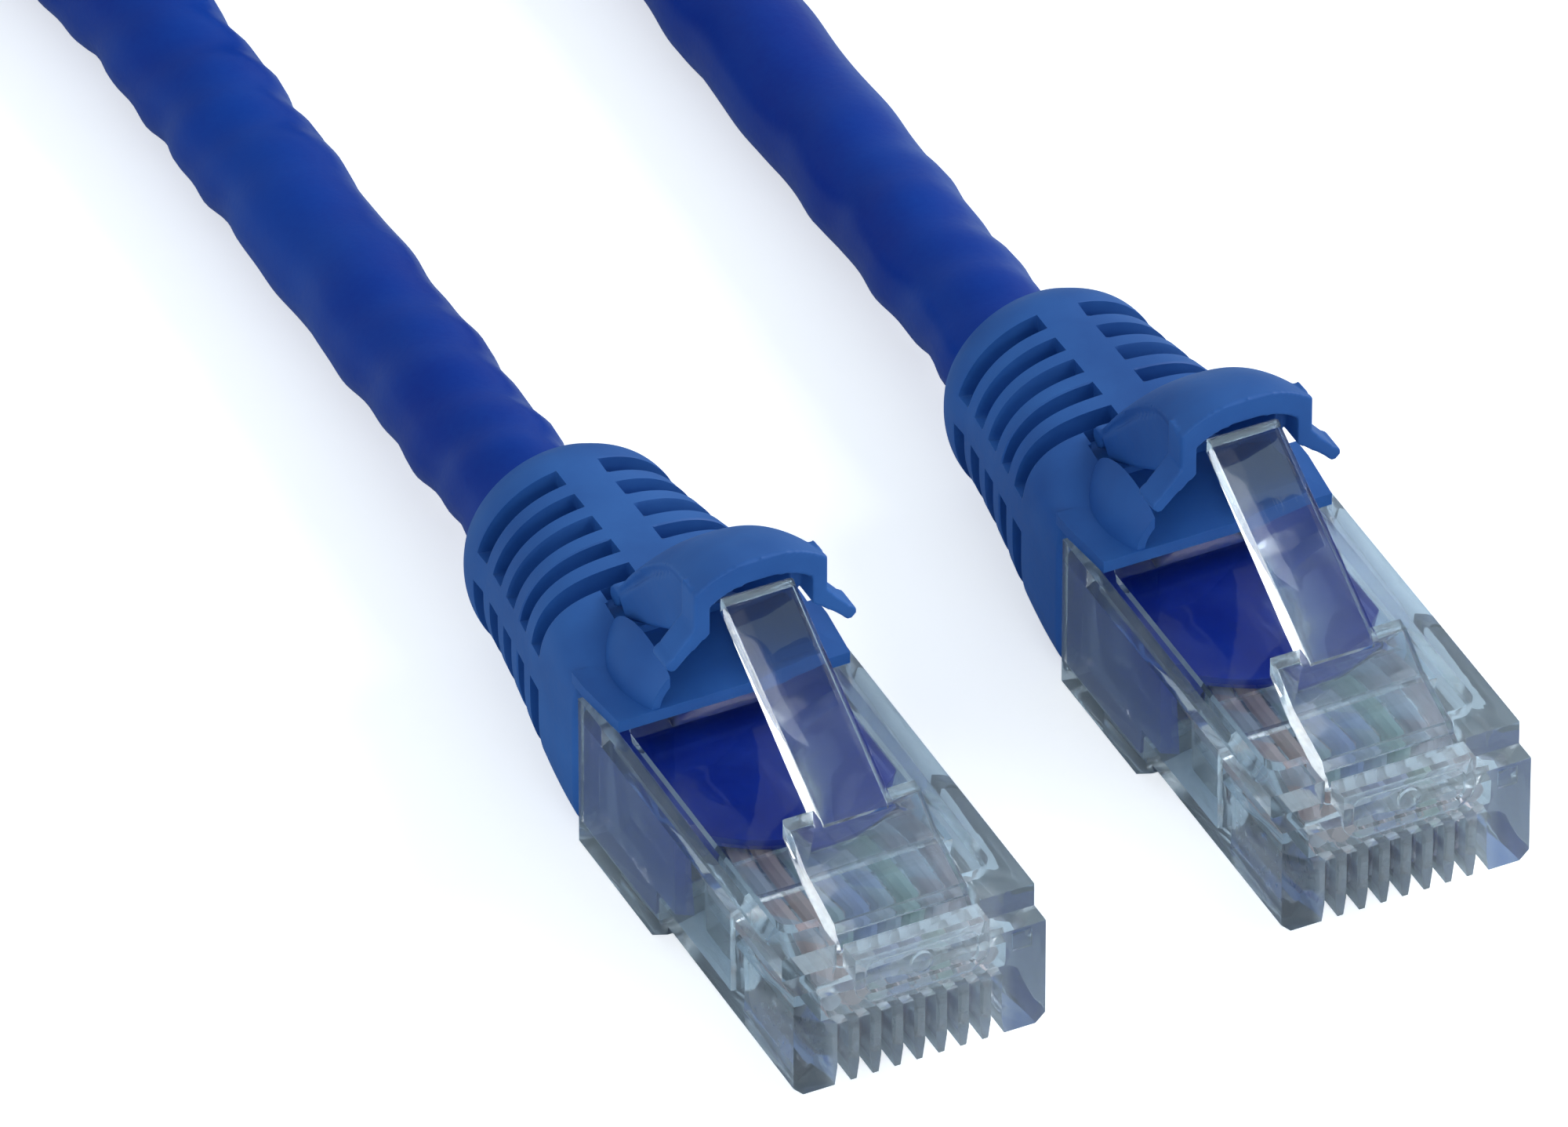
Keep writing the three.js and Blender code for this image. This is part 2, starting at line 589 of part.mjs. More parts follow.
// Boot: the moulded blue sleeve, with flexing grooves, a front flap and cheeks beside the latch.
function boot() {
  const flapLow = NOSE_HEIGHT + BOOT_FLAP_GAP;
  const flapHigh = flapLow + BOOT_FLAP_THICKNESS;
  const flapHalf = halfWidth - BOOT_FLAP_INSET;
  const flapFront = HOUSING_LENGTH - BOOT_FLAP_LENGTH;
  const flap = boxBetween([-flapHalf, flapFront, flapLow], [flapHalf, bootFront + 2 * FIT_GAP, flapHigh]);
  const rootHalf = hoodRoot.half + FIT_GAP;
  const rootGap = HOOD_ROOT_RADIUS + FIT_GAP;
  const rootLow = hoodAxis.z - rootGap;
  const slotHalf = CROWN_SLOT_WIDTH / 2;
  const channelEnd = HOUSING_LENGTH + CHANNEL_END;
  const insertEnd = HOUSING_LENGTH + INSERT_TAIL + FIT_GAP;
  const insertTop = cavityTop - INSERT_TOP_GAP + FIT_GAP;
  const cuts = [
    boxBetween([-slotHalf, 0, flapHigh], [slotHalf, channelEnd, FAR]),
    boxBetween([-slotHalf, channelEnd - OVERLAP, rootLow], [slotHalf, hoodAxis.y, FAR]),
    boxBetween([-rootHalf, hoodAxis.y - rootGap, rootLow], [rootHalf, hoodAxis.y + rootGap, FAR]),
    boxBetween([-cavityHalf, 0, cavityFloor], [cavityHalf, insertEnd, insertTop]),
    holeAlongY(bore, bootFront, FAR, CORD_HEIGHT),
  ];
  for (let index = 0; index < GROOVE_COUNT; index += 1) {
    const y = HOUSING_LENGTH + GROOVE_FIRST + index * GROOVE_PITCH;
    for (const side of [-1, 1]) {
      cuts.push(groove(y, UPPER_GROOVE_ANGLES, side));
      cuts.push(groove(y, LOWER_GROOVE_ANGLES, side));
    }
  }
  return carve(bootBody(), [flap, cheeks(flapLow, flapHigh)], cuts);
}

// Hood: an arched roof hinged at its back, with flared skirts at its front rim.
function hood() {
  const spans = hoodStations.length - 1;
  const roof = new THREE.BoxGeometry(2, spans, 1, 10, spans, 1);
  const position = roof.attributes.position;
  for (let index = 0; index < position.count; index += 1) {
    const across = position.getX(index);
    const station = hoodStations[Math.round(position.getY(index) + spans / 2)];
    const isUnder = position.getZ(index) < 0;
    const half = station.half - (isUnder ? SKIRT_WALL / 2 : 0);
    const top = station.z - (isUnder ? HOOD_THICKNESS : 0);
    const z = top - station.drop * Math.abs(across) ** HOOD_ROUNDNESS;
    position.setXYZ(index, across * half, station.y, z);
  }
  const edge = hoodRim.z - hoodRim.drop;
  const skirtLow = edge - SKIRT_DROP;
  const tip = { x: hoodRim.half + WING.out, z: edge - WING.down };
  const outline = [
    [hoodRim.half, edge],
    [hoodRim.half - SKIRT_WALL, edge - WING.edge],
    [hoodRim.half - SKIRT_WALL, skirtLow - WING.edge],
    [tip.x - WING.edge / 2, tip.z - WING.edge],
    [tip.x, tip.z + WING.edge / 2],
    [hoodRim.half, skirtLow + WING.edge / 2],
  ];
  const root = barAlongX(hoodAxis, HOOD_ROOT_RADIUS, 2 * hoodRoot.half);
  const rimRear = hoodRim.y + HOOD_RIM_LENGTH;
  const skirts = [outline, mirrored(outline)].map((points) => alongY(points, hoodRim.y, rimRear));
  return carve(roof, [root, ...skirts], []);
}

// A racetrack outline around the hank's centre line, made of two straight runs and two half rounds.
function racetrack(shape, radius, length) {
  shape.absarc(0, 0, radius, Math.PI, Math.PI * 2, false);
  shape.absarc(0, length, radius, 0, Math.PI, false);
  shape.closePath();
  return shape;
}

const hankBottom = TIE_THICKNESS + TIE_GAP;
const bundleHalf = CORD_DIAMETER;

// Hank: the outer form of the wound cord.
function hank() {
  const outline = racetrack(new THREE.Shape(), HANK_MIDDLE_RADIUS + bundleHalf, HANK_STRAIGHT);
  outline.holes.push(racetrack(new THREE.Path(), HANK_MIDDLE_RADIUS - bundleHalf, HANK_STRAIGHT));
  const options = { depth: HANK_LAYERS * CORD_DIAMETER, bevelEnabled: false, curveSegments: 16 };
  const ring = new THREE.ExtrudeGeometry(outline, options);
  return ring.translate(HANK_CENTRE_X, HANK_NEAR_Y, hankBottom);
}

// Tie: a soft strap wrapped round one run of the hank.
function tie(side) {
  const inner = bundleHalf + TIE_GAP;
  const outer = inner + TIE_THICKNESS;
  const x = HANK_CENTRE_X + side * HANK_MIDDLE_RADIUS;
  const inside = [TIE_THICKNESS, hankBottom + HANK_LAYERS * CORD_DIAMETER + TIE_GAP];
  const y = HANK_NEAR_Y + (HANK_STRAIGHT - TIE_WIDTH) / 2;
  const strap = boxBetween([x - outer, y, 0], [x + outer, y + TIE_WIDTH, inside[1] + TIE_THICKNESS]);
  const opening = boxBetween([x - inner, y - FAR, inside[0]], [x + inner, y + FAR, inside[1]]);
  return carve(strap, [], [opening]);
}

// Lead: the cord from the inside of a plug to the hank.
function lead(route) {
  const points = route.map(([x, y, z]) => new THREE.Vector3(x, y, z));
  return tube(points, CORD_DIAMETER, CORD_SIDES, LEAD_STEPS);
}

function named(name, geometry, look) {
  const mesh = new THREE.Mesh(geometry, look);
  mesh.name = name;
  return mesh;
}

// One plug with everything on it and in it, in its own frame.
function plug(end) {
  const group = new THREE.Group();
  group.add(named(`housing_${end}`, housing(), clearPlastic()));
  group.add(named(`latch_${end}`, latch(), clearPlastic()));
  for (let way = 0; way < WAYS; way += 1) {
    group.add(named(`contact_${end}${way + 1}`, contact(way), material(COLOURS.gold, 0.25, 1)));
    group.add(named(`wire_${end}${way + 1}`, wire(way), material(WIRE_COLOURS[way], 0.5)));
  }
  group.add(named(`load_bar_${end}`, loadBar(), clearPlastic()));
  group.add(named(`strain_relief_${end}`, reliefBar(), clearPlastic()));
  group.add(named(`insert_${end}`, insert(), material(COLOURS.darkBlue, 0.5)));
  group.add(named(`boot_${end}`, boot(), material(COLOURS.blue, 0.55)));
  group.add(named(`hood_${end}`, hood(), material(COLOURS.blue, 0.55)));
  return group;
}

// The origin is at the middle of the two plugs' box, on the surface that they lie on.
const boxFront = Math.min(-BLOCK_PROUD, PLUG_STAGGER - BLOCK_PROUD);
const boxRear = Math.max(bootRear, bootRear + PLUG_STAGGER);
const cable = new THREE.Group();
cable.position.set(-PLUG_SPACING / 2, -(boxFront + boxRear) / 2, 0);

const plugA = plug('a');
plugA.add(named('cord_lead_a', lead(LEAD_A_ROUTE), material(COLOURS.blue, 0.45)));
plugA.position.z = REAR_DROP;
const plugB = plug('b');
plugB.add(named('cord_lead_b', lead(LEAD_B_ROUTE), material(COLOURS.blue, 0.45)));
plugB.position.set(PLUG_SPACING, PLUG_STAGGER, REAR_DROP);
cable.add(plugA, plugB);
cable.add(named('cord_hank', hank(), material(COLOURS.blue, 0.45)));
cable.add(named('tie_a', tie(-1), material(COLOURS.tie, 0.8)));
cable.add(named('tie_b', tie(1), material(COLOURS.tie, 0.8)));

export default cable;
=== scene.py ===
# Ethernet patch cable: two clear eight-way plugs side by side, each in a blue snagless boot with a
# hood over its latch, joined by one round blue cord whose spare length is folded into a tied hank.
# The scene is in metres. Each piece of a plug is modelled once in millimetres, in the plug's own
# frame (nose face at y = 0, underside of the nose at z = 0), then copied to both plugs.

import math

import bpy
import numpy as np
from mathutils import Matrix, Vector, noise


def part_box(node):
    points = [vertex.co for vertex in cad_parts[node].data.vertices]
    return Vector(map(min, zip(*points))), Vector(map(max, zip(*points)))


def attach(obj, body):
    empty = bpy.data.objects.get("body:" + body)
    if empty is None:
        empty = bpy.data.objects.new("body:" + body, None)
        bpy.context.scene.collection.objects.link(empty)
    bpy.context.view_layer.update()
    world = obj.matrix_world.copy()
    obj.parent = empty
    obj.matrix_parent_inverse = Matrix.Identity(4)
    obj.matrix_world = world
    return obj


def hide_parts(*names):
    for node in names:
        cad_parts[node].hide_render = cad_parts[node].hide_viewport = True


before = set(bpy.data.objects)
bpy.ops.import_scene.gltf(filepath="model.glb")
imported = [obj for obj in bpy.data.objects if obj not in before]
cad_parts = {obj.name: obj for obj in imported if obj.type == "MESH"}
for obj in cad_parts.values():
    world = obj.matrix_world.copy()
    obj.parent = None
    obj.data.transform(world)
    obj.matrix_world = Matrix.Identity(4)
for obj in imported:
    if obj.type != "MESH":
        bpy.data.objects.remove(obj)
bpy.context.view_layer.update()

# Setting: the cable lies on a plain white sheet in an evenly lit white room, under a large soft
# lamp at the right and weaker ones at the left and in front. The camera looks down from the front
# left through a long lens.
MM = 0.001


def new_material(name):
    """A new material, its nodes, its links and its Principled shader."""
    made = bpy.data.materials.new(name)
    made.use_nodes = True
    nodes, links = made.node_tree.nodes, made.node_tree.links
    return made, nodes, links, nodes["Principled BSDF"]


def add_node(nodes, kind, **settings):
    """Adds a node, with its properties or its inputs' values given by name."""
    node = nodes.new(kind)
    for key, value in settings.items():
        if hasattr(node, key):
            setattr(node, key, value)
        else:
            node.inputs[key.replace("_", " ")].default_value = value
    return node


bpy.ops.object.select_all(action="DESELECT")
bpy.ops.mesh.primitive_plane_add(size=6.0, location=(0, 0, -0.00005))
floor = bpy.context.object
floor.name = "floor_sheet"
floor_paper, nodes, links, shader = new_material("floor_paper")
shader.inputs["Roughness"].default_value = 0.7
shader.inputs["Emission Color"].default_value = (0.98, 0.99, 1.0, 1)
shader.inputs["Emission Strength"].default_value = 0.55
place = nodes.new("ShaderNodeTexCoord")
fibre = add_node(nodes, "ShaderNodeTexNoise", Scale=900.0, Detail=3.0)
paper = add_node(nodes, "ShaderNodeMix", data_type="RGBA")
paper.inputs[6].default_value = (0.90, 0.91, 0.92, 1)
paper.inputs[7].default_value = (0.94, 0.945, 0.95, 1)
links.new(place.outputs["Object"], fibre.inputs["Vector"])
links.new(fibre.outputs["Fac"], paper.inputs[0])
links.new(paper.outputs[2], shader.inputs["Base Color"])
# Only the camera sees the sheet this bright. To other rays it is duller, so that its mirror image
# does not fill the clear plastic with white.
bounce = nodes.new("ShaderNodeBsdfDiffuse")
bounce.inputs["Color"].default_value = (0.62, 0.76, 0.84, 1)
rays = nodes.new("ShaderNodeLightPath")
seen = nodes.new("ShaderNodeMixShader")
links.new(rays.outputs["Is Camera Ray"], seen.inputs["Fac"])
links.new(bounce.outputs["BSDF"], seen.inputs[1])
links.new(shader.outputs["BSDF"], seen.inputs[2])
links.new(seen.outputs["Shader"], nodes["Material Output"].inputs["Surface"])
floor.data.materials.append(floor_paper)

room = bpy.data.worlds.new("white_room")
room.use_nodes = True
room.node_tree.nodes["Background"].inputs["Color"].default_value = (0.76, 0.90, 1.0, 1)
room.node_tree.nodes["Background"].inputs["Strength"].default_value = 0.5
bpy.context.scene.world = room


def soft_lamp(name, place, target, size, power, colour):
    bpy.ops.object.light_add(type="AREA", location=place)
    lamp = bpy.context.object
    lamp.name = name
    lamp.data.shape = "RECTANGLE"
    lamp.data.size, lamp.data.size_y = size
    lamp.data.energy = power
    lamp.data.color = colour
    aim = Vector(target) - Vector(place)
    lamp.rotation_euler = aim.to_track_quat("-Z", "Y").to_euler()


soft_lamp("lamp_right", (0.72, 0.02, 0.5), (0, 0, 0), (0.5, 0.5), 4.6, (1.0, 0.99, 0.97))
soft_lamp("lamp_left", (-0.5, -0.1, 0.35), (0, 0, 0), (0.35, 0.5), 0.6, (0.95, 0.98, 1.0))
soft_lamp("lamp_front", (0.1, -0.6, 0.3), (0, 0, 0.01), (0.5, 0.2), 1.0, (1.0, 1.0, 1.0))

VIEW_TURN, VIEW_RISE = math.radians(-26), math.radians(38)
VIEW_TARGET = Vector((-11.06, -3.90, 17.33)) * MM
VIEW_DISTANCE = 1.0875
back = Vector((
    math.sin(VIEW_TURN) * math.cos(VIEW_RISE),
    -math.cos(VIEW_TURN) * math.cos(VIEW_RISE),
    math.sin(VIEW_RISE),
))
right = Vector((math.cos(VIEW_TURN), math.sin(VIEW_TURN), 0))
up = back.cross(right)
bpy.ops.object.camera_add()
camera = bpy.context.object
camera.data.lens = 600
camera.data.sensor_width = 36
camera.data.clip_end = 20
turn = Matrix((right, up, back)).transposed().to_4x4()
camera.matrix_world = Matrix.Translation(VIEW_TARGET + back * VIEW_DISTANCE) @ turn
bpy.context.scene.camera = camera
bpy.context.scene.view_settings.view_transform = "Standard"

# Cord: four twisted pairs under a thin extruded vinyl jacket, which shows them as faint lumps. It
# runs from inside boot a, round the hank and back into boot b. Two soft hook-and-loop straps
# hold the hank.
PLUG_DROP = 1.1
BLOCK_PROUD = 0.25
plug_place = {}
for end in "ab":
    low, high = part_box(f"housing_{end}")
    plug_place[end] = Vector((
        (low.x + high.x) / 2, low.y + BLOCK_PROUD * MM, low.z + PLUG_DROP * MM))

CORD_WIDTH, CORD_HEIGHT = 5.6, 2.7
CORD_STEP, CORD_SIDES = 0.5, 22
LEAD_A = [
    (0, 19.3, 2.7), (0, 27, 2.7), (0, 35, 2.7), (0.1, 42, 2.55), (0.25, 50, 2.2), (0.4, 58, 1.9),
    (0.5, 66, 1.75), (0.5, 74, 1.75), (0.2, 81, 1.77), (-0.9, 88, 1.85), (-3.2, 94.5, 2.1),
    (-6.2, 101, 2.4),
]
LEAD_B = [
    (0, 19.3, 2.7), (0, 27, 2.7), (0, 35, 2.7), (0.1, 42, 2.55), (0.25, 50, 2.2), (0.4, 58, 1.9),
    (0.5, 65, 1.78), (0.7, 71, 1.88), (1.2, 77, 2.5), (2.1, 82.6, 3.8), (3.1, 87.2, 5.2),
    (4.6, 92.4, 7.1), (6.3, 98, 8.05),
]
# The middle of the hank's near bend, the length of its straights and its mean radius.
HANK_NEAR, HANK_STRAIGHT, HANK_RADIUS = 92.225, 55.0, 17.0
HANK_LOW, HANK_HIGH = 3.6, 9.2
OUTER, INNER = HANK_RADIUS + CORD_WIDTH / 2, HANK_RADIUS - CORD_WIDTH / 2
# For each pass of the near bend: radius and height after it, and the angles it shifts between.
NEAR_SHIFTS = [
    (INNER, HANK_LOW, 95, 140),
    (INNER, HANK_HIGH, 60, 105),
    (OUTER, HANK_HIGH, 25, 70),
]
STRAIGHT_STEPS, BEND_STEPS = 4, 14
# The lumps of the jacket: two lays of twisted pairs, a slow and a quick one, and small dents.
SLOW_LAY, SLOW_BULGE = 7.1, 0.085
QUICK_LAY, QUICK_BULGE = 3.45, 0.075
DENT = 0.05


def ease(share):
    """A smooth step from 0 to 1."""
    share = min(max(share, 0.0), 1.0)
    return share * share * (3 - 2 * share)


def hank_points():
    """Points along the hank's passes, from the end of lead a to the end of lead b."""
    far = HANK_NEAR + HANK_STRAIGHT
    points = []
    radius, height = OUTER, HANK_LOW
    for turn_index in range(len(NEAR_SHIFTS) + 1):
        for step in range(STRAIGHT_STEPS):
            points.append((-radius, HANK_NEAR + HANK_STRAIGHT * step / STRAIGHT_STEPS, height))
        for step in range(BEND_STEPS + 1):
            angle = math.pi - math.pi * step / BEND_STEPS
            points.append((radius * math.cos(angle), far + radius * math.sin(angle), height))
        for step in range(1, STRAIGHT_STEPS):
            points.append((radius, far - HANK_STRAIGHT * step / STRAIGHT_STEPS, height))
        if turn_index == len(NEAR_SHIFTS):
            break
        radius_to, height_to, start, stop = NEAR_SHIFTS[turn_index]
        for step in range(BEND_STEPS):
            degrees = 180 * step / BEND_STEPS
            share = ease((degrees - start) / (stop - start))
            r = radius + (radius_to - radius) * share
            angle = -math.radians(degrees)
            points.append((
                r * math.cos(angle), HANK_NEAR + r * math.sin(angle),
                height + (height_to - height) * share))
        radius, height = radius_to, height_to
    return points


def smooth_path(points, spacing):
    """Evenly spaced points on a centripetal Catmull-Rom curve through the given ones."""
    p = np.array(points, float)
    p = np.vstack([2 * p[0] - p[1], p, 2 * p[-1] - p[-2]])
    dense = []
    for i in range(1, len(p) - 2):
        knots = [0.0]
        for a, b in zip(p[i - 1:i + 2], p[i:i + 3]):
            knots.append(knots[-1] + np.linalg.norm(b - a) ** 0.5)
        t0, t1, t2, t3 = knots
        for t in np.linspace(t1, t2, 24, endpoint=False):
            a1 = (t1 - t) / (t1 - t0) * p[i - 1] + (t - t0) / (t1 - t0) * p[i]
            a2 = (t2 - t) / (t2 - t1) * p[i] + (t - t1) / (t2 - t1) * p[i + 1]
            a3 = (t3 - t) / (t3 - t2) * p[i + 1] + (t - t2) / (t3 - t2) * p[i + 2]
            b1 = (t2 - t) / (t2 - t0) * a1 + (t - t0) / (t2 - t0) * a2
            b2 = (t3 - t) / (t3 - t1) * a2 + (t - t1) / (t3 - t1) * a3
            dense.append((t2 - t) / (t2 - t1) * b1 + (t - t1) / (t2 - t1) * b2)
    dense = np.array(dense + [p[-2]])
    along = np.concatenate([[0], np.cumsum(np.linalg.norm(np.diff(dense, axis=0), axis=1))])
    wanted = np.linspace(0, along[-1], int(along[-1] / spacing) + 1)
    return np.column_stack([np.interp(wanted, along, dense[:, k]) for k in range(3)]), along[-1]


def jacket_bulge(along, angle):
    """How far the jacket stands out over the twisted pairs below it, in millimetres."""
    drift = noise.noise(Vector((along * 0.09, 3.1, 0.4)))
    patch = ease(0.5 + 1.6 * noise.noise(Vector((along * 0.055, 11.7, 5.2))))
    slow_turn = 2 * math.pi * along / SLOW_LAY + angle + 2.2 * drift
    slow = SLOW_BULGE * math.sin(slow_turn)
    quick_turn = 2 * math.pi * along / QUICK_LAY - 2 * angle + 3.0 * drift
    quick = QUICK_BULGE * patch * math.sin(quick_turn)
    turned = (along * 0.35, 1.5 * math.cos(angle), 1.5 * math.sin(angle))
    return slow + quick + DENT * noise.noise(Vector(turned))


def jacket_tube(path, half, sides):
    """A closed tube round the path, with its rings carried along without twisting."""
    tangents = np.gradient(path, axis=0)
    tangents /= np.linalg.norm(tangents, axis=1)[:, None]
    side = np.cross(tangents[0], (0, 0, 1.0))
    verts, faces = [], []
    for index, (centre, tangent) in enumerate(zip(path, tangents)):
        side = side - tangent * side.dot(tangent)
        side /= np.linalg.norm(side)
        over = np.cross(side, tangent)
        along = index * CORD_STEP
        for k in range(sides):
            angle = 2 * math.pi * k / sides
            radius = half + jacket_bulge(along, angle)
            verts.append(centre + radius * (math.cos(angle) * side + math.sin(angle) * over))
    for index in range(len(path) - 1):
        first = index * sides
        for k in range(sides):
            after = (k + 1) % sides
            faces.append((first + k, first + after, first + sides + after, first + sides + k))
    last = (len(path) - 1) * sides
    faces.append(tuple(range(sides))[::-1])
    faces.append(tuple(range(last, last + sides)))
    mesh = bpy.data.meshes.new("cord_jacket")
    mesh.from_pydata([tuple(v) for v in verts], [], faces)
    return mesh


def only(piece):
    """Makes one piece the only selected one, and the active one."""
    bpy.ops.object.select_all(action="DESELECT")
    piece.select_set(True)
    bpy.context.view_layer.objects.active = piece


def face_outwards(piece):
    """Joins doubled points and turns every face outwards."""
    only(piece)
    bpy.ops.object.mode_set(mode="EDIT")
    bpy.ops.mesh.select_all(action="SELECT")
    bpy.ops.mesh.remove_doubles(threshold=0.0001)
    bpy.ops.mesh.normals_make_consistent(inside=False)
    bpy.ops.object.mode_set(mode="OBJECT")


def soft_vinyl_group():
    """Moulded or extruded vinyl: slow changes of shade, and a fine grain for bump and gloss."""
    group = bpy.data.node_groups.new("soft_vinyl", "ShaderNodeTree")
    sockets = [
        ("Place", "INPUT", "NodeSocketVector"), ("Deep", "INPUT", "NodeSocketColor"),
        ("Pale", "INPUT", "NodeSocketColor"), ("Shade scale", "INPUT", "NodeSocketFloat"),
        ("Grain scale", "INPUT", "NodeSocketFloat"), ("Gloss low", "INPUT", "NodeSocketFloat"),
        ("Gloss high", "INPUT", "NodeSocketFloat"), ("Colour", "OUTPUT", "NodeSocketColor"),
        ("Roughness", "OUTPUT", "NodeSocketFloat"), ("Height", "OUTPUT", "NodeSocketFloat"),
    ]
    for name, way, kind in sockets:
        group.interface.new_socket(name, in_out=way, socket_type=kind)
    nodes, links = group.nodes, group.links
    given = nodes.new("NodeGroupInput")
    result = nodes.new("NodeGroupOutput")
    shade = add_node(nodes, "ShaderNodeTexNoise", Detail=3.0, Roughness=0.6)
    grain = add_node(nodes, "ShaderNodeTexNoise", Detail=4.0, Roughness=0.65)
    pits = add_node(nodes, "ShaderNodeTexVoronoi")
    links.new(given.outputs["Place"], shade.inputs["Vector"])
    links.new(given.outputs["Shade scale"], shade.inputs["Scale"])
    links.new(given.outputs["Place"], grain.inputs["Vector"])
    links.new(given.outputs["Grain scale"], grain.inputs["Scale"])
    links.new(given.outputs["Place"], pits.inputs["Vector"])
    links.new(given.outputs["Grain scale"], pits.inputs["Scale"])
    spread = add_node(nodes, "ShaderNodeMapRange")
    spread.inputs["From Min"].default_value = 0.35
    spread.inputs["From Max"].default_value = 0.68
    links.new(shade.outputs["Fac"], spread.inputs["Value"])
    speckle = add_node(nodes, "ShaderNodeMath", operation="MULTIPLY_ADD")
    links.new(grain.outputs["Fac"], speckle.inputs[0])
    speckle.inputs[1].default_value = 0.45
    links.new(spread.outputs["Result"], speckle.inputs[2])
    centred = add_node(nodes, "ShaderNodeMath", operation="SUBTRACT", use_clamp=True)
    links.new(speckle.outputs[0], centred.inputs[0])
    centred.inputs[1].default_value = 0.22
    colour = add_node(nodes, "ShaderNodeMix", data_type="RGBA")
    links.new(centred.outputs[0], colour.inputs[0])
    links.new(given.outputs["Deep"], colour.inputs[6])
    links.new(given.outputs["Pale"], colour.inputs[7])
    gloss = add_node(nodes, "ShaderNodeMapRange")
    links.new(grain.outputs["Fac"], gloss.inputs["Value"])
    links.new(given.outputs["Gloss low"], gloss.inputs["To Min"])
    links.new(given.outputs["Gloss high"], gloss.inputs["To Max"])
    height = add_node(nodes, "ShaderNodeMath", operation="MULTIPLY_ADD")
    links.new(pits.outputs["Distance"], height.inputs[0])
    height.inputs[1].default_value = 0.5
    links.new(grain.outputs["Fac"], height.inputs[2])
    links.new(colour.outputs[2], result.inputs["Colour"])
    links.new(gloss.outputs["Result"], result.inputs["Roughness"])
    links.new(height.outputs[0], result.inputs["Height"])
    return group


soft_vinyl = soft_vinyl_group()


def vinyl(name, deep, pale, gloss, grain_mm, relief, shade_mm, specular=0.5):
    """Soft vinyl between two colours, with the sizes of its grain and its changes of shade."""
    made, nodes, links, shader = new_material(name)
    place = nodes.new("ShaderNodeTexCoord")
    look = add_node(nodes, "ShaderNodeGroup", node_tree=soft_vinyl)
    look.inputs["Deep"].default_value = (*deep, 1)
    look.inputs["Pale"].default_value = (*pale, 1)
    look.inputs["Shade scale"].default_value = 1 / (shade_mm * MM)
    look.inputs["Grain scale"].default_value = 1 / (grain_mm * MM)
    look.inputs["Gloss low"].default_value, look.inputs["Gloss high"].default_value = gloss
    bump = add_node(nodes, "ShaderNodeBump", Strength=relief, Distance=0.00005)
    links.new(place.outputs["Object"], look.inputs["Place"])
    links.new(look.outputs["Colour"], shader.inputs["Base Color"])
    links.new(look.outputs["Roughness"], shader.inputs["Roughness"])
    links.new(look.outputs["Height"], bump.inputs["Height"])
    links.new(bump.outputs["Normal"], shader.inputs["Normal"])
    shader.inputs["Specular IOR Level"].default_value = specular
    return made


start = [Vector(p) + plug_place["a"] / MM for p in LEAD_A]
finish = [Vector(p) + plug_place["b"] / MM for p in LEAD_B]
route = [tuple(p) for p in start] + hank_points() + [tuple(p) for p in reversed(finish)]
cord_path, cord_length = smooth_path(route, CORD_STEP)
cord_mesh = jacket_tube(cord_path, CORD_WIDTH / 2, CORD_SIDES)
cord_mesh.transform(Matrix.Scale(MM, 4))
cord = bpy.data.objects.new("cord_jacket", cord_mesh)
bpy.context.scene.collection.objects.link(cord)
face_outwards(cord)
bpy.ops.object.shade_smooth()
jacket_vinyl = vinyl(
    "jacket_vinyl", (0.0005, 0.022, 0.26), (0.0015, 0.05, 0.35), (0.30, 0.44), 0.35, 0.12,
    shade_mm=16.0, specular=0.2)
cord_mesh.materials.append(jacket_vinyl)
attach(cord, "cable")
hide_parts("cord_lead_a", "cord_lead_b", "cord_hank")

TIE_THICKNESS, TIE_ROUND = 0.6, 3.0


def use(piece, kind, **settings):
    """Adds a modifier to the piece and applies it."""
    only(piece)
    modifier = piece.modifiers.new(kind.lower(), kind)
    for key, value in settings.items():
        setattr(modifier, key, value)
    bpy.ops.object.modifier_apply(modifier=modifier.name)


def select_faces(piece, wanted):
    """Selects the faces whose centre and normal satisfy a test, and enters edit mode."""
    only(piece)
    bpy.context.tool_settings.mesh_select_mode = (False, False, True)
    mesh = piece.data
    for part in (mesh.vertices, mesh.edges):
        part.foreach_set("select", [False] * len(part))
    for face in mesh.polygons:
        face.select = wanted(face.center, face.normal)
    bpy.ops.object.mode_set(mode="EDIT")


def box_piece(name, low, high):
    """A box between two corners."""
    low, high = Vector(low), Vector(high)
    bpy.ops.object.select_all(action="DESELECT")
    bpy.ops.mesh.primitive_cube_add(size=1, location=(low + high) / 2, scale=high - low)
    piece = bpy.context.object
    piece.name = piece.data.name = name
    bpy.ops.object.transform_apply(location=True, rotation=True, scale=True)
    return piece


def tie_material():
    """Dark woven strap with a fuzz of small loops."""
    made, nodes, links, shader = new_material("woven_strap")
    place = nodes.new("ShaderNodeTexCoord")
    loops = add_node(nodes, "ShaderNodeTexVoronoi", Scale=1800.0)
    fuzz = add_node(nodes, "ShaderNodeTexNoise", Scale=900.0, Detail=5.0)
    ramp = add_node(nodes, "ShaderNodeValToRGB")
    ramp.color_ramp.elements[0].color = (0.008, 0.008, 0.009, 1)
    ramp.color_ramp.elements[1].color = (0.06, 0.06, 0.064, 1)
    bump = add_node(nodes, "ShaderNodeBump", Strength=0.8, Distance=0.0002)
    links.new(place.outputs["Object"], loops.inputs["Vector"])
    links.new(place.outputs["Object"], fuzz.inputs["Vector"])
    links.new(fuzz.outputs["Fac"], ramp.inputs["Fac"])
    links.new(ramp.outputs["Color"], shader.inputs["Base Color"])
    links.new(loops.outputs["Distance"], bump.inputs["Height"])
    links.new(bump.outputs["Normal"], shader.inputs["Normal"])
    shader.inputs["Roughness"].default_value = 0.85
    return made


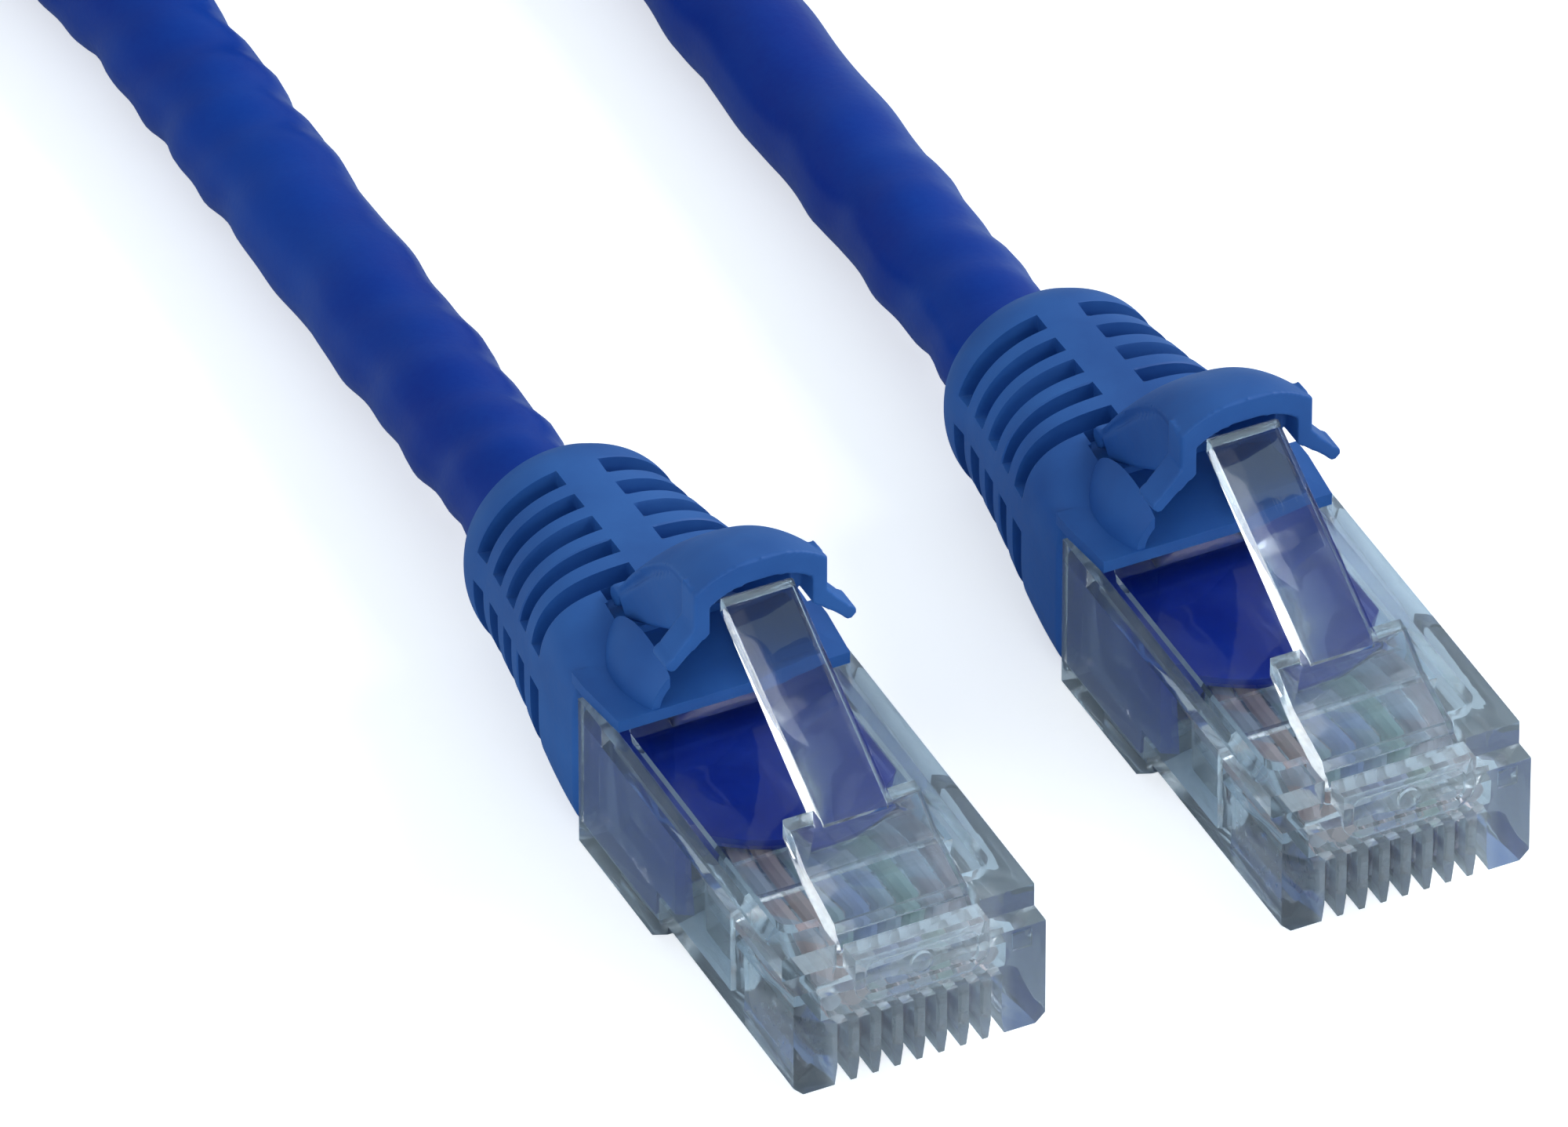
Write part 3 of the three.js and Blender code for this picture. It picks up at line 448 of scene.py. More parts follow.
woven_strap = tie_material()
for end in "ab":
    low, high = (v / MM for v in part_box(f"tie_{end}"))
    strap = box_piece(f"cord_tie_{end}", low, high)
    select_faces(strap, lambda centre, normal: abs(normal.y) > 0.9)
    bpy.ops.mesh.delete(type="FACE")
    bpy.ops.mesh.select_mode(type="EDGE")
    bpy.ops.object.mode_set(mode="OBJECT")
    for edge in strap.data.edges:
        ends = [strap.data.vertices[v].co for v in edge.vertices]
        edge.select = abs((ends[1] - ends[0]).normalized().y) > 0.9
    bpy.context.tool_settings.mesh_select_mode = (False, True, False)
    bpy.ops.object.mode_set(mode="EDIT")
    bpy.ops.mesh.bevel(offset=TIE_ROUND, segments=6)
    bpy.ops.object.mode_set(mode="OBJECT")
    use(strap, "SOLIDIFY", thickness=TIE_THICKNESS, offset=-1.0)
    face_outwards(strap)
    use(strap, "BEVEL", width=0.15, segments=2, limit_method="ANGLE", angle_limit=math.radians(50))
    bpy.ops.object.shade_smooth_by_angle(angle=math.radians(40))
    strap.data.transform(Matrix.Scale(MM, 4))
    strap.data.materials.append(woven_strap)
    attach(strap, "cable")
    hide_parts(f"tie_{end}")

# Plug housing: one clear polycarbonate moulding. Its underside has a comb of eight slots for the
# contacts, its top a recess between two thin rails, its nose a block that the latch springs from,
# and its back is hollow for the wires and the insert. All outer edges are slightly rounded.
WAYS, PITCH = 8, 1.016
SLOT_HALF, SLOT_MOUTH_HALF, SLOT_TOP, SLOT_REAR = 0.25, 0.37, 3.2, 6.25
HALF_WIDTH, HOUSING_REAR, NOSE_HEIGHT = 5.84, 20.6, 6.5
STEP_BACK, STEP_HEIGHT = 1.1, 5.35
CAVITY_HALF, CHAMBER_HALF, CAVITY_ROOF = 4.89, 4.214, 4.85
REAR_FLOOR, BRIDGE_FRONT = -0.3, 18.9
BLOCK_HALF, BLOCK_REAR, POCKET_DEPTH = 3.1, 1.2, 0.22
HOUSING_EDGE = 0.09
BELOW, FAR = -3, 40.0
CLEAR_IOR, CLEAR_ALPHA = 1.42, 0.87
# The middle of the nose is painted light: there the plastic lets less light through, so it looks
# whiter, as if lit by bright refractions. Half its width, its depth, and how far it fades out.
PAINTED_LIGHT_HALF, PAINTED_LIGHT_DEPTH, PAINTED_LIGHT_FADE = 4.0, 1.5, 0.4


def outline_piece(name, points, axis, start, stop):
    """A flat outline drawn across one axis, in millimetres, and extruded along it."""
    corners = []
    for first, second in points:
        place = [first, second]
        place.insert("XYZ".index(axis), start)
        corners.append(place)
    mesh = bpy.data.meshes.new(name)
    mesh.from_pydata(corners, [], [tuple(range(len(corners)))])
    piece = bpy.data.objects.new(name, mesh)
    bpy.context.scene.collection.objects.link(piece)
    only(piece)
    bpy.ops.object.mode_set(mode="EDIT")
    bpy.ops.mesh.select_all(action="SELECT")
    push = [stop - start if letter == axis else 0 for letter in "XYZ"]
    bpy.ops.mesh.extrude_region_move(TRANSFORM_OT_translate={"value": push})
    bpy.ops.mesh.select_all(action="SELECT")
    bpy.ops.mesh.normals_make_consistent(inside=False)
    bpy.ops.object.mode_set(mode="OBJECT")
    return piece


def round_corners(low, high, radius, steps=5):
    """The outline of a rectangle with rounded corners."""
    points = []
    for index, (x, y) in enumerate([(1, 1), (0, 1), (0, 0), (1, 0)]):
        centre = [
            (high[0] - radius) if x else (low[0] + radius),
            (high[1] - radius) if y else (low[1] + radius)]
        for step in range(steps + 1):
            angle = math.pi / 2 * (index + step / steps)
            points.append((
                centre[0] + radius * math.cos(angle), centre[1] + radius * math.sin(angle)))
    return points


def combine(piece, others, operation):
    """Joins other solids to the piece, or cuts them out of it."""
    for other in others:
        use(piece, "BOOLEAN", object=other, operation=operation, solver="EXACT")
        bpy.data.objects.remove(other)


def rod_piece(name, radius, start, stop, sides=32):
    """A round rod from one point to another."""
    start, stop = Vector(start), Vector(stop)
    bpy.ops.object.select_all(action="DESELECT")
    bpy.ops.mesh.primitive_cylinder_add(
        vertices=sides, radius=radius, depth=(stop - start).length, location=(start + stop) / 2,
        rotation=(stop - start).to_track_quat("Z", "Y").to_euler())
    piece = bpy.context.object
    piece.name = piece.data.name = name
    bpy.ops.object.transform_apply(location=True, rotation=True, scale=True)
    return piece


def mirror_outline(points):
    """The same outline on the other side of the plug."""
    return [(-x, z) for x, z in reversed(points)]


def put_on_plugs(piece, name, material, node, body, smooth=40):
    """Copies a finished piece to both plugs, hangs each copy on its body, and hides the part it
    takes the place of.
    """
    only(piece)
    if smooth:
        bpy.ops.object.shade_smooth_by_angle(angle=math.radians(smooth))
    else:
        bpy.ops.object.shade_smooth()
    piece.data.materials.clear()
    piece.data.materials.append(material)
    for end, origin in plug_place.items():
        copy = bpy.data.objects.new(f"{name}_{end}", piece.data.copy())
        copy.data.name = copy.name
        copy.data.transform(Matrix.Translation(origin) @ Matrix.Scale(MM, 4))
        bpy.context.scene.collection.objects.link(copy)
        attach(copy, body.format(end))
        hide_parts(f"{node}_{end}")
    bpy.data.objects.remove(piece)


def moulded_wear_group():
    """Clear moulding: hairline scratches for gloss, and the slow ripple of a moulded face."""
    group = bpy.data.node_groups.new("moulded_wear", "ShaderNodeTree")
    sockets = [
        ("Place", "INPUT", "NodeSocketVector"), ("Gloss", "INPUT", "NodeSocketFloat"),
        ("Worn gloss", "INPUT", "NodeSocketFloat"), ("Roughness", "OUTPUT", "NodeSocketFloat"),
        ("Height", "OUTPUT", "NodeSocketFloat"),
    ]
    for name, way, kind in sockets:
        group.interface.new_socket(name, in_out=way, socket_type=kind)
    nodes, links = group.nodes, group.links
    given = nodes.new("NodeGroupInput")
    result = nodes.new("NodeGroupOutput")
    stretch = add_node(nodes, "ShaderNodeMapping")
    stretch.inputs["Rotation"].default_value = (0.3, 0.2, 0.7)
    stretch.inputs["Scale"].default_value = (9000, 500, 900)
    scratches = add_node(nodes, "ShaderNodeTexNoise", Scale=1.0, Detail=2.0)
    ripple = add_node(nodes, "ShaderNodeTexNoise", Scale=420.0, Detail=2.0)
    links.new(given.outputs["Place"], stretch.inputs["Vector"])
    links.new(stretch.outputs["Vector"], scratches.inputs["Vector"])
    links.new(given.outputs["Place"], ripple.inputs["Vector"])
    sparse = add_node(nodes, "ShaderNodeMapRange")
    sparse.inputs["From Min"].default_value = 0.62
    sparse.inputs["From Max"].default_value = 0.8
    links.new(scratches.outputs["Fac"], sparse.inputs["Value"])
    gloss = add_node(nodes, "ShaderNodeMapRange")
    links.new(sparse.outputs["Result"], gloss.inputs["Value"])
    links.new(given.outputs["Gloss"], gloss.inputs["To Min"])
    links.new(given.outputs["Worn gloss"], gloss.inputs["To Max"])
    height = add_node(nodes, "ShaderNodeMath", operation="MULTIPLY_ADD")
    links.new(sparse.outputs["Result"], height.inputs[0])
    height.inputs[1].default_value = -0.04
    links.new(ripple.outputs["Fac"], height.inputs[2])
    links.new(gloss.outputs["Result"], result.inputs["Roughness"])
    links.new(height.outputs[0], result.inputs["Height"])
    return group


moulded_wear = moulded_wear_group()


def nose_painted_light(nodes, links, place, amount):
    """How clear the plastic is: all of it, but for the middle of each plug's nose, where less light
    goes through, as painted light that makes it look whiter.
    """
    split = nodes.new("ShaderNodeSeparateXYZ")
    links.new(place.outputs["Object"], split.inputs["Vector"])
    across = add_node(nodes, "ShaderNodeMath", operation="ABSOLUTE")
    links.new(split.outputs["X"], across.inputs[0])
    offset = add_node(nodes, "ShaderNodeMath", operation="SUBTRACT")
    offset.inputs[1].default_value = abs(plug_place["a"].x)
    links.new(across.outputs[0], offset.inputs[0])
    beside = add_node(nodes, "ShaderNodeMath", operation="ABSOLUTE")
    links.new(offset.outputs[0], beside.inputs[0])
    depth = (plug_place["a"].y + plug_place["b"].y) / 2 + PAINTED_LIGHT_DEPTH * MM
    inside = add_node(nodes, "ShaderNodeMapRange")
    inside.inputs["From Min"].default_value = (PAINTED_LIGHT_HALF + PAINTED_LIGHT_FADE) * MM
    inside.inputs["From Max"].default_value = PAINTED_LIGHT_HALF * MM
    in_front = add_node(nodes, "ShaderNodeMapRange")
    in_front.inputs["From Min"].default_value = depth + PAINTED_LIGHT_FADE * MM
    in_front.inputs["From Max"].default_value = depth - PAINTED_LIGHT_FADE * MM
    links.new(beside.outputs[0], inside.inputs["Value"])
    links.new(split.outputs["Y"], in_front.inputs["Value"])
    both = add_node(nodes, "ShaderNodeMath", operation="MULTIPLY")
    links.new(inside.outputs["Result"], both.inputs[0])
    links.new(in_front.outputs["Result"], both.inputs[1])
    clear = add_node(nodes, "ShaderNodeMapRange")
    clear.inputs["To Min"].default_value = 1.0
    clear.inputs["To Max"].default_value = 1 - amount
    links.new(both.outputs[0], clear.inputs["Value"])
    return clear.outputs["Result"]


def clear_moulding(name, tint, gloss, ripple, painted_light=0.0):
    """Clear plastic that bends what is seen through it, and lets the lamps' light through."""
    made, nodes, links, shader = new_material(name)
    place = nodes.new("ShaderNodeTexCoord")
    look = add_node(nodes, "ShaderNodeGroup", node_tree=moulded_wear)
    look.inputs["Gloss"].default_value, look.inputs["Worn gloss"].default_value = gloss
    bump = add_node(nodes, "ShaderNodeBump", Strength=ripple, Distance=0.00006)
    links.new(place.outputs["Object"], look.inputs["Place"])
    links.new(look.outputs["Roughness"], shader.inputs["Roughness"])
    links.new(look.outputs["Height"], bump.inputs["Height"])
    links.new(bump.outputs["Normal"], shader.inputs["Normal"])
    shader.inputs["Base Color"].default_value = (*tint, 1)
    shader.inputs["Transmission Weight"].default_value = 1.0
    # The nose's whiter middle is painted light: less light goes through the plastic there.
    if painted_light:
        links.new(nose_painted_light(nodes, links, place, painted_light), shader.inputs["Transmission Weight"])
    shader.inputs["IOR"].default_value = CLEAR_IOR
    shader.inputs["Alpha"].default_value = CLEAR_ALPHA
    rays = nodes.new("ShaderNodeLightPath")
    through = nodes.new("ShaderNodeBsdfTransparent")
    through.inputs["Color"].default_value = (0.9, 0.92, 0.95, 1)
    mix = nodes.new("ShaderNodeMixShader")
    links.new(rays.outputs["Is Shadow Ray"], mix.inputs["Fac"])
    links.new(shader.outputs["BSDF"], mix.inputs[1])
    links.new(through.outputs["BSDF"], mix.inputs[2])
    links.new(mix.outputs["Shader"], nodes["Material Output"].inputs["Surface"])
    return made


housing = outline_piece("plug_housing", [
    (0, 0), (12, 0), (13.5, -PLUG_DROP), (HOUSING_REAR, -PLUG_DROP),
    (HOUSING_REAR, NOSE_HEIGHT), (STEP_BACK, NOSE_HEIGHT), (STEP_BACK, STEP_HEIGHT),
    (0, STEP_HEIGHT),
], "X", -HALF_WIDTH, HALF_WIDTH)
nose_block = outline_piece("nose_block", [
    (-BLOCK_HALF, NOSE_HEIGHT), (-BLOCK_HALF, 4.95), (-2.95, 4.5), (-2.35, 4.05), (2.35, 4.05),
    (2.95, 4.5), (BLOCK_HALF, 4.95), (BLOCK_HALF, NOSE_HEIGHT),
], "Y", -BLOCK_PROUD, BLOCK_REAR)
combine(housing, [nose_block], "UNION")
slot_cuts = []
for way in range(WAYS):
    x = (way - (WAYS - 1) / 2) * PITCH
    slot_cuts.append(outline_piece("contact_slot", [
        (x - SLOT_MOUTH_HALF, BELOW), (x + SLOT_MOUTH_HALF, BELOW), (x + SLOT_MOUTH_HALF, 0),
        (x + SLOT_HALF, 0.9), (x + SLOT_HALF, SLOT_TOP), (x - SLOT_HALF, SLOT_TOP),
        (x - SLOT_HALF, 0.9), (x - SLOT_MOUTH_HALF, 0),
    ], "Y", -3, SLOT_REAR))
# A shallow pocket in the block's face, with a round gate mark left standing in it.
block_face = outline_piece(
    "block_face", round_corners((-2.62, 4.5), (2.62, 6.1), 0.45), "Y", -1,
    -BLOCK_PROUD + POCKET_DEPTH)
combine(block_face, [
    rod_piece("gate_mark", 0.5, (0, -2, 5.3), (0, 1, 5.3), sides=28),
], "DIFFERENCE")
foot = [
    (HALF_WIDTH - 0.45, 0), (HALF_WIDTH - 0.45, BELOW), (HALF_WIDTH + 3, BELOW),
    (HALF_WIDTH + 3, 3.45), (HALF_WIDTH, 0.45),
]
combine(housing, [
    outline_piece(
        "recess", round_corners((-CAVITY_HALF, 3.0), (CAVITY_HALF, 18.2), 0.7), "Z", 5.55, 9),
    outline_piece("latch_groove", round_corners((-3.35, 0.95), (3.35, 3.1), 0.3), "Z", 5.15, 9),
    box_piece("wire_chamber", (-CHAMBER_HALF, 1.0, 3.1), (CHAMBER_HALF, 6.8, 4.3)),
    box_piece("cavity", (-CAVITY_HALF, 6.7, 0.8), (CAVITY_HALF, FAR, CAVITY_ROOF)),
    box_piece("rear_cavity", (-CAVITY_HALF, 13.5, REAR_FLOOR), (CAVITY_HALF, FAR, CAVITY_ROOF)),
    box_piece(
        "bridge_cavity", (-CAVITY_HALF, BRIDGE_FRONT, REAR_FLOOR), (CAVITY_HALF, FAR, 5.8)),
    rod_piece("cord_bore", 2.95, (0, BRIDGE_FRONT, CORD_HEIGHT), (0, FAR, CORD_HEIGHT)),
    box_piece("relief_slot", (-3.3, 14.3, BELOW), (3.3, 18.1, -0.2)),
    outline_piece("foot_right", foot, "Y", -3, 12),
    outline_piece("foot_left", mirror_outline(foot), "Y", -3, 12),
    block_face,
    box_piece("side_window", (4.3, -1, 4.2), (5.2, 0.12, 5.15)),
] + slot_cuts, "DIFFERENCE")
face_outwards(housing)
use(
    housing, "BEVEL", width=HOUSING_EDGE, segments=2, limit_method="ANGLE",
    angle_limit=math.radians(35))
# Its nose gets a whiter middle that is painted light, not real clouding of the plastic.
clear_housing = clear_moulding(
    "clear_housing", (0.86, 0.915, 0.96), (0.03, 0.10), 0.25, painted_light=0.13)
put_on_plugs(housing, "plug_housing", clear_housing, "housing", "cable")

# Contacts and wires: eight gold-plated blades stand in the comb, each pressed through the skin of
# one solid-colour or striped wire. Their own solids stay, with plated metal and insulation on them.


def plated_metal():
    """Gold-plated metal that looks pinkish through the clear plastic."""
    made, nodes, links, shader = new_material("plated_blade")
    place = nodes.new("ShaderNodeTexCoord")
    grain = add_node(nodes, "ShaderNodeTexNoise", Scale=2600.0, Detail=4.0)
    tone = add_node(nodes, "ShaderNodeValToRGB")
    tone.color_ramp.elements[0].color = (0.80, 0.56, 0.50, 1)
    tone.color_ramp.elements[1].color = (0.96, 0.80, 0.78, 1)
    gloss = add_node(nodes, "ShaderNodeMapRange")
    gloss.inputs["To Min"].default_value = 0.18
    gloss.inputs["To Max"].default_value = 0.42
    bump = add_node(nodes, "ShaderNodeBump", Strength=0.2, Distance=0.00002)
    links.new(place.outputs["Object"], grain.inputs["Vector"])
    links.new(grain.outputs["Fac"], tone.inputs["Fac"])
    links.new(tone.outputs["Color"], shader.inputs["Base Color"])
    links.new(grain.outputs["Fac"], gloss.inputs["Value"])
    links.new(gloss.outputs["Result"], shader.inputs["Roughness"])
    links.new(grain.outputs["Fac"], bump.inputs["Height"])
    links.new(bump.outputs["Normal"], shader.inputs["Normal"])
    shader.inputs["Metallic"].default_value = 1.0
    return made


def insulation(name, colour, stripe):
    """Wire skin of one colour, or of a pale colour with a stripe wound round it."""
    made, nodes, links, shader = new_material(name)
    place = nodes.new("ShaderNodeTexCoord")
    wound = add_node(
        nodes, "ShaderNodeTexWave", wave_type="BANDS", bands_direction="DIAGONAL", Scale=160.0,
        Distortion=0.6)
    edge = add_node(nodes, "ShaderNodeValToRGB")
    edge.color_ramp.elements[0].position = 0.62
    edge.color_ramp.elements[0].color = (*colour, 1)
    edge.color_ramp.elements[1].position = 0.7
    edge.color_ramp.elements[1].color = (*stripe, 1)
    fine = add_node(nodes, "ShaderNodeTexNoise", Scale=1500.0, Detail=3.0)
    bump = add_node(nodes, "ShaderNodeBump", Strength=0.15, Distance=0.00003)
    links.new(place.outputs["Object"], wound.inputs["Vector"])
    links.new(wound.outputs["Fac"], edge.inputs["Fac"])
    links.new(edge.outputs["Color"], shader.inputs["Base Color"])
    links.new(place.outputs["Object"], fine.inputs["Vector"])
    links.new(fine.outputs["Fac"], bump.inputs["Height"])
    links.new(bump.outputs["Normal"], shader.inputs["Normal"])
    shader.inputs["Roughness"].default_value = 0.4
    shader.inputs["Transmission Weight"].default_value = 0.75
    shader.inputs["IOR"].default_value = 1.12
    return made


plated_blade = plated_metal()
PALE = (0.70, 0.74, 0.80)
WIRE_SKINS = [
    ("white_orange", PALE, (0.80, 0.66, 0.64)), ("orange", (0.76, 0.60, 0.56), (0.74, 0.57, 0.53)),
    ("white_green", PALE, (0.62, 0.76, 0.70)), ("blue", (0.50, 0.58, 0.82), (0.47, 0.55, 0.80)),
    ("white_blue", PALE, (0.56, 0.62, 0.84)), ("green", (0.54, 0.70, 0.62), (0.51, 0.68, 0.60)),
    ("white_brown", PALE, (0.68, 0.62, 0.64)), ("brown", (0.58, 0.50, 0.52), (0.55, 0.47, 0.49)),
]
for way, (name, colour, stripe) in enumerate(WIRE_SKINS, start=1):
    skin = insulation(f"skin_{name}", colour, stripe)
    for end in "ab":
        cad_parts[f"wire_{end}{way}"].material_slots[0].material = skin
        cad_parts[f"contact_{end}{way}"].material_slots[0].material = plated_blade

# Load bar, strain-relief bar and insert: a clear comb that keeps the wires in line, a clear bar
# pressed up from below, and the dark blue vinyl block that grips the jacket inside the housing.
clear_bar = clear_moulding("clear_bar", (0.93, 0.95, 0.97), (0.05, 0.12), 0.15)
insert_vinyl = vinyl(
    "insert_vinyl", (0.0002, 0.010, 0.18), (0.0004, 0.018, 0.24), (0.28, 0.4), 0.3, 0.12,
    shade_mm=5.0)
for end in "ab":
    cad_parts[f"load_bar_{end}"].material_slots[0].material = clear_bar
    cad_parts[f"strain_relief_{end}"].material_slots[0].material = clear_bar
INSERT_HALF, INSERT_REAR, INSERT_LOW, INSERT_HIGH = 4.87, 24.2, -0.25, 4.82
CROWN_FRONT, CROWN_BOW, CROWN_STEPS = 12, 2.4, 24
insert_outline = [(
    INSERT_HALF - 2 * INSERT_HALF * k / CROWN_STEPS,
    CROWN_FRONT - CROWN_BOW * (1 - (1 - 2 * k / CROWN_STEPS) ** 2),
) for k in range(CROWN_STEPS + 1)] + [(-INSERT_HALF, INSERT_REAR), (INSERT_HALF, INSERT_REAR)]
insert = outline_piece("insert_block", insert_outline, "Z", INSERT_LOW, INSERT_HIGH)
combine(insert, [
    box_piece("housing_step", (-9, 0, -9), (9, 13.8, 1.0)),
    box_piece("wire_tunnel", (-4.2, 0, 0.6), (4.2, 19.3, 4.2)),
    rod_piece("jacket_hole", 3.1, (0, 19.0, CORD_HEIGHT), (0, FAR, CORD_HEIGHT), sides=48),
], "DIFFERENCE")
face_outwards(insert)
use(insert, "BEVEL", width=0.12, segments=2, limit_method="ANGLE", angle_limit=math.radians(40))
put_on_plugs(insert, "insert_block", insert_vinyl, "insert", "cable")

# Latch: a flat clear spring that rises from the nose block to two square catch shoulders, and goes
# on as a narrower tab until it lies under the hood. It bends at its root when it is pressed.
LATCH_HALF, TAB_HALF = 3.05, 1.625
ROOT_BACK, ROOT_HEIGHT, ROOT_RADIUS = 1.75, 5.95, 0.5
latch = outline_piece("latch_arm", [
    (1.465, 5.95), (2.13, 5.665), (4.88, 6.8), (6.75, 8.0), (6.75, 8.95), (6.05, 8.87),
    (5.2, 8.25), (4.5, 7.75), (1.845, 6.9),
], "X", -LATCH_HALF, LATCH_HALF)
tab = outline_piece("latch_tab", [
    (5.8, 8.85), (5.8, 7.9), (6.75, 7.9), (15.6, 13.2), (15.6, 13.9), (15.35, 14.02),
], "X", -TAB_HALF, TAB_HALF)
hinge_rod = rod_piece(
    "latch_root", ROOT_RADIUS, (-LATCH_HALF, ROOT_BACK, ROOT_HEIGHT),
    (LATCH_HALF, ROOT_BACK, ROOT_HEIGHT), sides=24)
combine(latch, [tab, hinge_rod], "UNION")
face_outwards(latch)
use(latch, "BEVEL", width=0.12, segments=3, limit_method="ANGLE", angle_limit=math.radians(35))
clear_latch = clear_moulding("clear_latch", (0.84, 0.90, 0.95), (0.035, 0.14), 0.3)
put_on_plugs(latch, "latch_arm", clear_latch, "latch", "latch_{}")

# Boot: a soft vinyl sleeve pushed over the back of the housing, in one moulding. It tapers to the
# cord, has rows of square-ended grooves that let it flex, a thin flap on the housing's top and a
# rounded cheek each side of the latch.
# Its stations: place, half width, lowest and highest point, and how square it is.
BOOT_STATIONS = [
    (20.9, 5.84, -1.1, 7.2, 7.0), (23.15, 5.82, -1.1, 8.05, 5.0), (26.2, 5.56, -1.1, 8.45, 3.4),
    (28.0, 5.32, -1.1, 8.45, 2.9), (31.5, 4.92, -1.1, 8.37, 2.4), (34.4, 4.62, -1.1, 8.15, 2.1),
    (35.0, 4.3, -0.8, 7.8, 2.0),
]
GROOVE_FIRST, GROOVE_PITCH, GROOVE_COUNT = 25.3, 1.77, 5
GROOVE_WIDTH, GROOVE_DEPTH = 0.92, 1.05
GROOVE_ROWS, GROOVE_TURN_RADIUS, GROOVE_EDGE = [(20, 78), (-38, 2)], 5.0, 0.14
LIP_DEPTH, LIP_LENGTH = 0.22, 0.35
CHANNEL_HALF, FLAP_LOW, FLAP_HIGH = 2.95, 6.64, 7.22
SLEEVE_STEP, SLEEVE_SIDES = 0.07, 220


def station_at(table, place):
    """The sizes between a table's rows, on a smooth curve through them."""
    rows = np.array(table, float)
    slopes = np.gradient(rows[:, 1:], rows[:, 0], axis=0)
    index = min(max(int(np.searchsorted(rows[:, 0], place)) - 1, 0), len(rows) - 2)
    before, after = rows[index], rows[index + 1]
    span = after[0] - before[0]
    t = (place - before[0]) / span
    return (
        (2 * t ** 3 - 3 * t ** 2 + 1) * before[1:]
        + (t ** 3 - 2 * t ** 2 + t) * span * slopes[index]
        + (3 * t ** 2 - 2 * t ** 3) * after[1:]
        + (t ** 3 - t ** 2) * span * slopes[index + 1])


def groove_depth(y, angle):
    """How deep a groove goes at a place on the sleeve: each is a slot with square ends."""
    index = round((y - GROOVE_FIRST) / GROOVE_PITCH)
    if not 0 <= index < GROOVE_COUNT:
        return 0.0
    across = y - GROOVE_FIRST - index * GROOVE_PITCH
    degrees = math.degrees(angle)
    degrees = 180 - degrees if degrees > 90 else (-180 - degrees if degrees < -90 else degrees)
    deepest = 0.0
    for low, high in GROOVE_ROWS:
        middle, reach = (low + high) / 2, math.radians(high - low) / 2 * GROOVE_TURN_RADIUS
        along = abs(math.radians(degrees - middle) * GROOVE_TURN_RADIUS)
        inside = min(GROOVE_WIDTH / 2 - abs(across), reach - along)
        deepest = max(deepest, GROOVE_DEPTH * ease((inside + 0.04) / GROOVE_EDGE))
    return deepest


def sleeve_piece():
    """The solid sleeve, as close rings of points between the boot's stations."""
    front = BOOT_STATIONS[0][0]
    count = int((BOOT_STATIONS[-1][0] - front) / SLEEVE_STEP)
    verts, faces = [], []
    for ring in range(count + 1):
        y = front + ring * SLEEVE_STEP
        half, low, high, power = station_at(BOOT_STATIONS, y)
        rise, middle = (high - low) / 2, (high + low) / 2
        lip = LIP_DEPTH * (1 - ease(ring * SLEEVE_STEP / LIP_LENGTH))
        for k in range(SLEEVE_SIDES):
            angle = -math.pi + 2 * math.pi * k / SLEEVE_SIDES
            reach = (abs(math.cos(angle) / half) ** power
                     + abs(math.sin(angle) / rise) ** power) ** (-1 / power)
            reach -= groove_depth(y, angle) + lip
            verts.append((math.cos(angle) * reach, y, middle + math.sin(angle) * reach))
    for ring in range(count):
        first = ring * SLEEVE_SIDES
        for k in range(SLEEVE_SIDES):
            after = (k + 1) % SLEEVE_SIDES
            faces.append((first + k, first + after, first + SLEEVE_SIDES + after,
                          first + SLEEVE_SIDES + k))
    faces.append(tuple(range(SLEEVE_SIDES)))
    faces.append(tuple(range(count * SLEEVE_SIDES, (count + 1) * SLEEVE_SIDES)))
    mesh = bpy.data.meshes.new("boot_sleeve")
    mesh.from_pydata(verts, [], faces)
    piece = bpy.data.objects.new("boot_sleeve", mesh)
    bpy.context.scene.collection.objects.link(piece)
    face_outwards(piece)
    return piece


def ball_piece(name, centre, reach):
    """A ball stretched to its own reach along each axis."""
    bpy.ops.object.select_all(action="DESELECT")
    bpy.ops.mesh.primitive_uv_sphere_add(segments=64, ring_count=32, location=centre, scale=reach)
    piece = bpy.context.object
    piece.name = piece.data.name = name
    bpy.ops.object.transform_apply(location=True, rotation=True, scale=True)
    return piece


boot = sleeve_piece()
cheek = ball_piece("cheeks", (0, 20.0, 7.0), (4.4, 4.6, 3.1))
combine(cheek, [
    ball_piece("cheek_hollow", (0, 19.25, 7.0), (3.65, 4.6, 2.35)),
    box_piece("cheek_floor", (-9, 0, -9), (9, 21.2, 6.8)),
    box_piece("cheek_front", (-9, 0, -9), (9, 17.7, 20)),
], "DIFFERENCE")
flap = outline_piece("boot_flap", [
    (-5.4, 17.6), (5.4, 17.6), (5.7, 20.4), (5.7, 21.5), (-5.7, 21.5), (-5.7, 20.4),
], "Z", FLAP_LOW, FLAP_HIGH)
combine(boot, [cheek, flap], "UNION")
combine(boot, [
    box_piece("crown_slot", (-CHANNEL_HALF, 0, FLAP_HIGH), (CHANNEL_HALF, 22.6, FAR)),
    box_piece("channel", (-CHANNEL_HALF, 22.5, 7.6), (CHANNEL_HALF, 24.0, FAR)),
    box_piece("hood_seat", (-2.8, 23.2, 7.6), (2.8, 24.8, FAR)),
    box_piece("insert_room", (-CAVITY_HALF, 0, REAR_FLOOR), (CAVITY_HALF, 24.5, 5.05)),
    rod_piece("cord_bore", 3.1, (0, 20, CORD_HEIGHT), (0, FAR, CORD_HEIGHT), sides=64),
], "DIFFERENCE")
face_outwards(boot)
boot_vinyl = vinyl(
    "boot_vinyl", (0.014, 0.090, 0.34), (0.027, 0.135, 0.44), (0.5, 0.66), 0.55, 0.14,
    shade_mm=9.0, specular=0.4)
put_on_plugs(boot, "boot_sleeve", boot_vinyl, "boot", "cable", smooth=38)

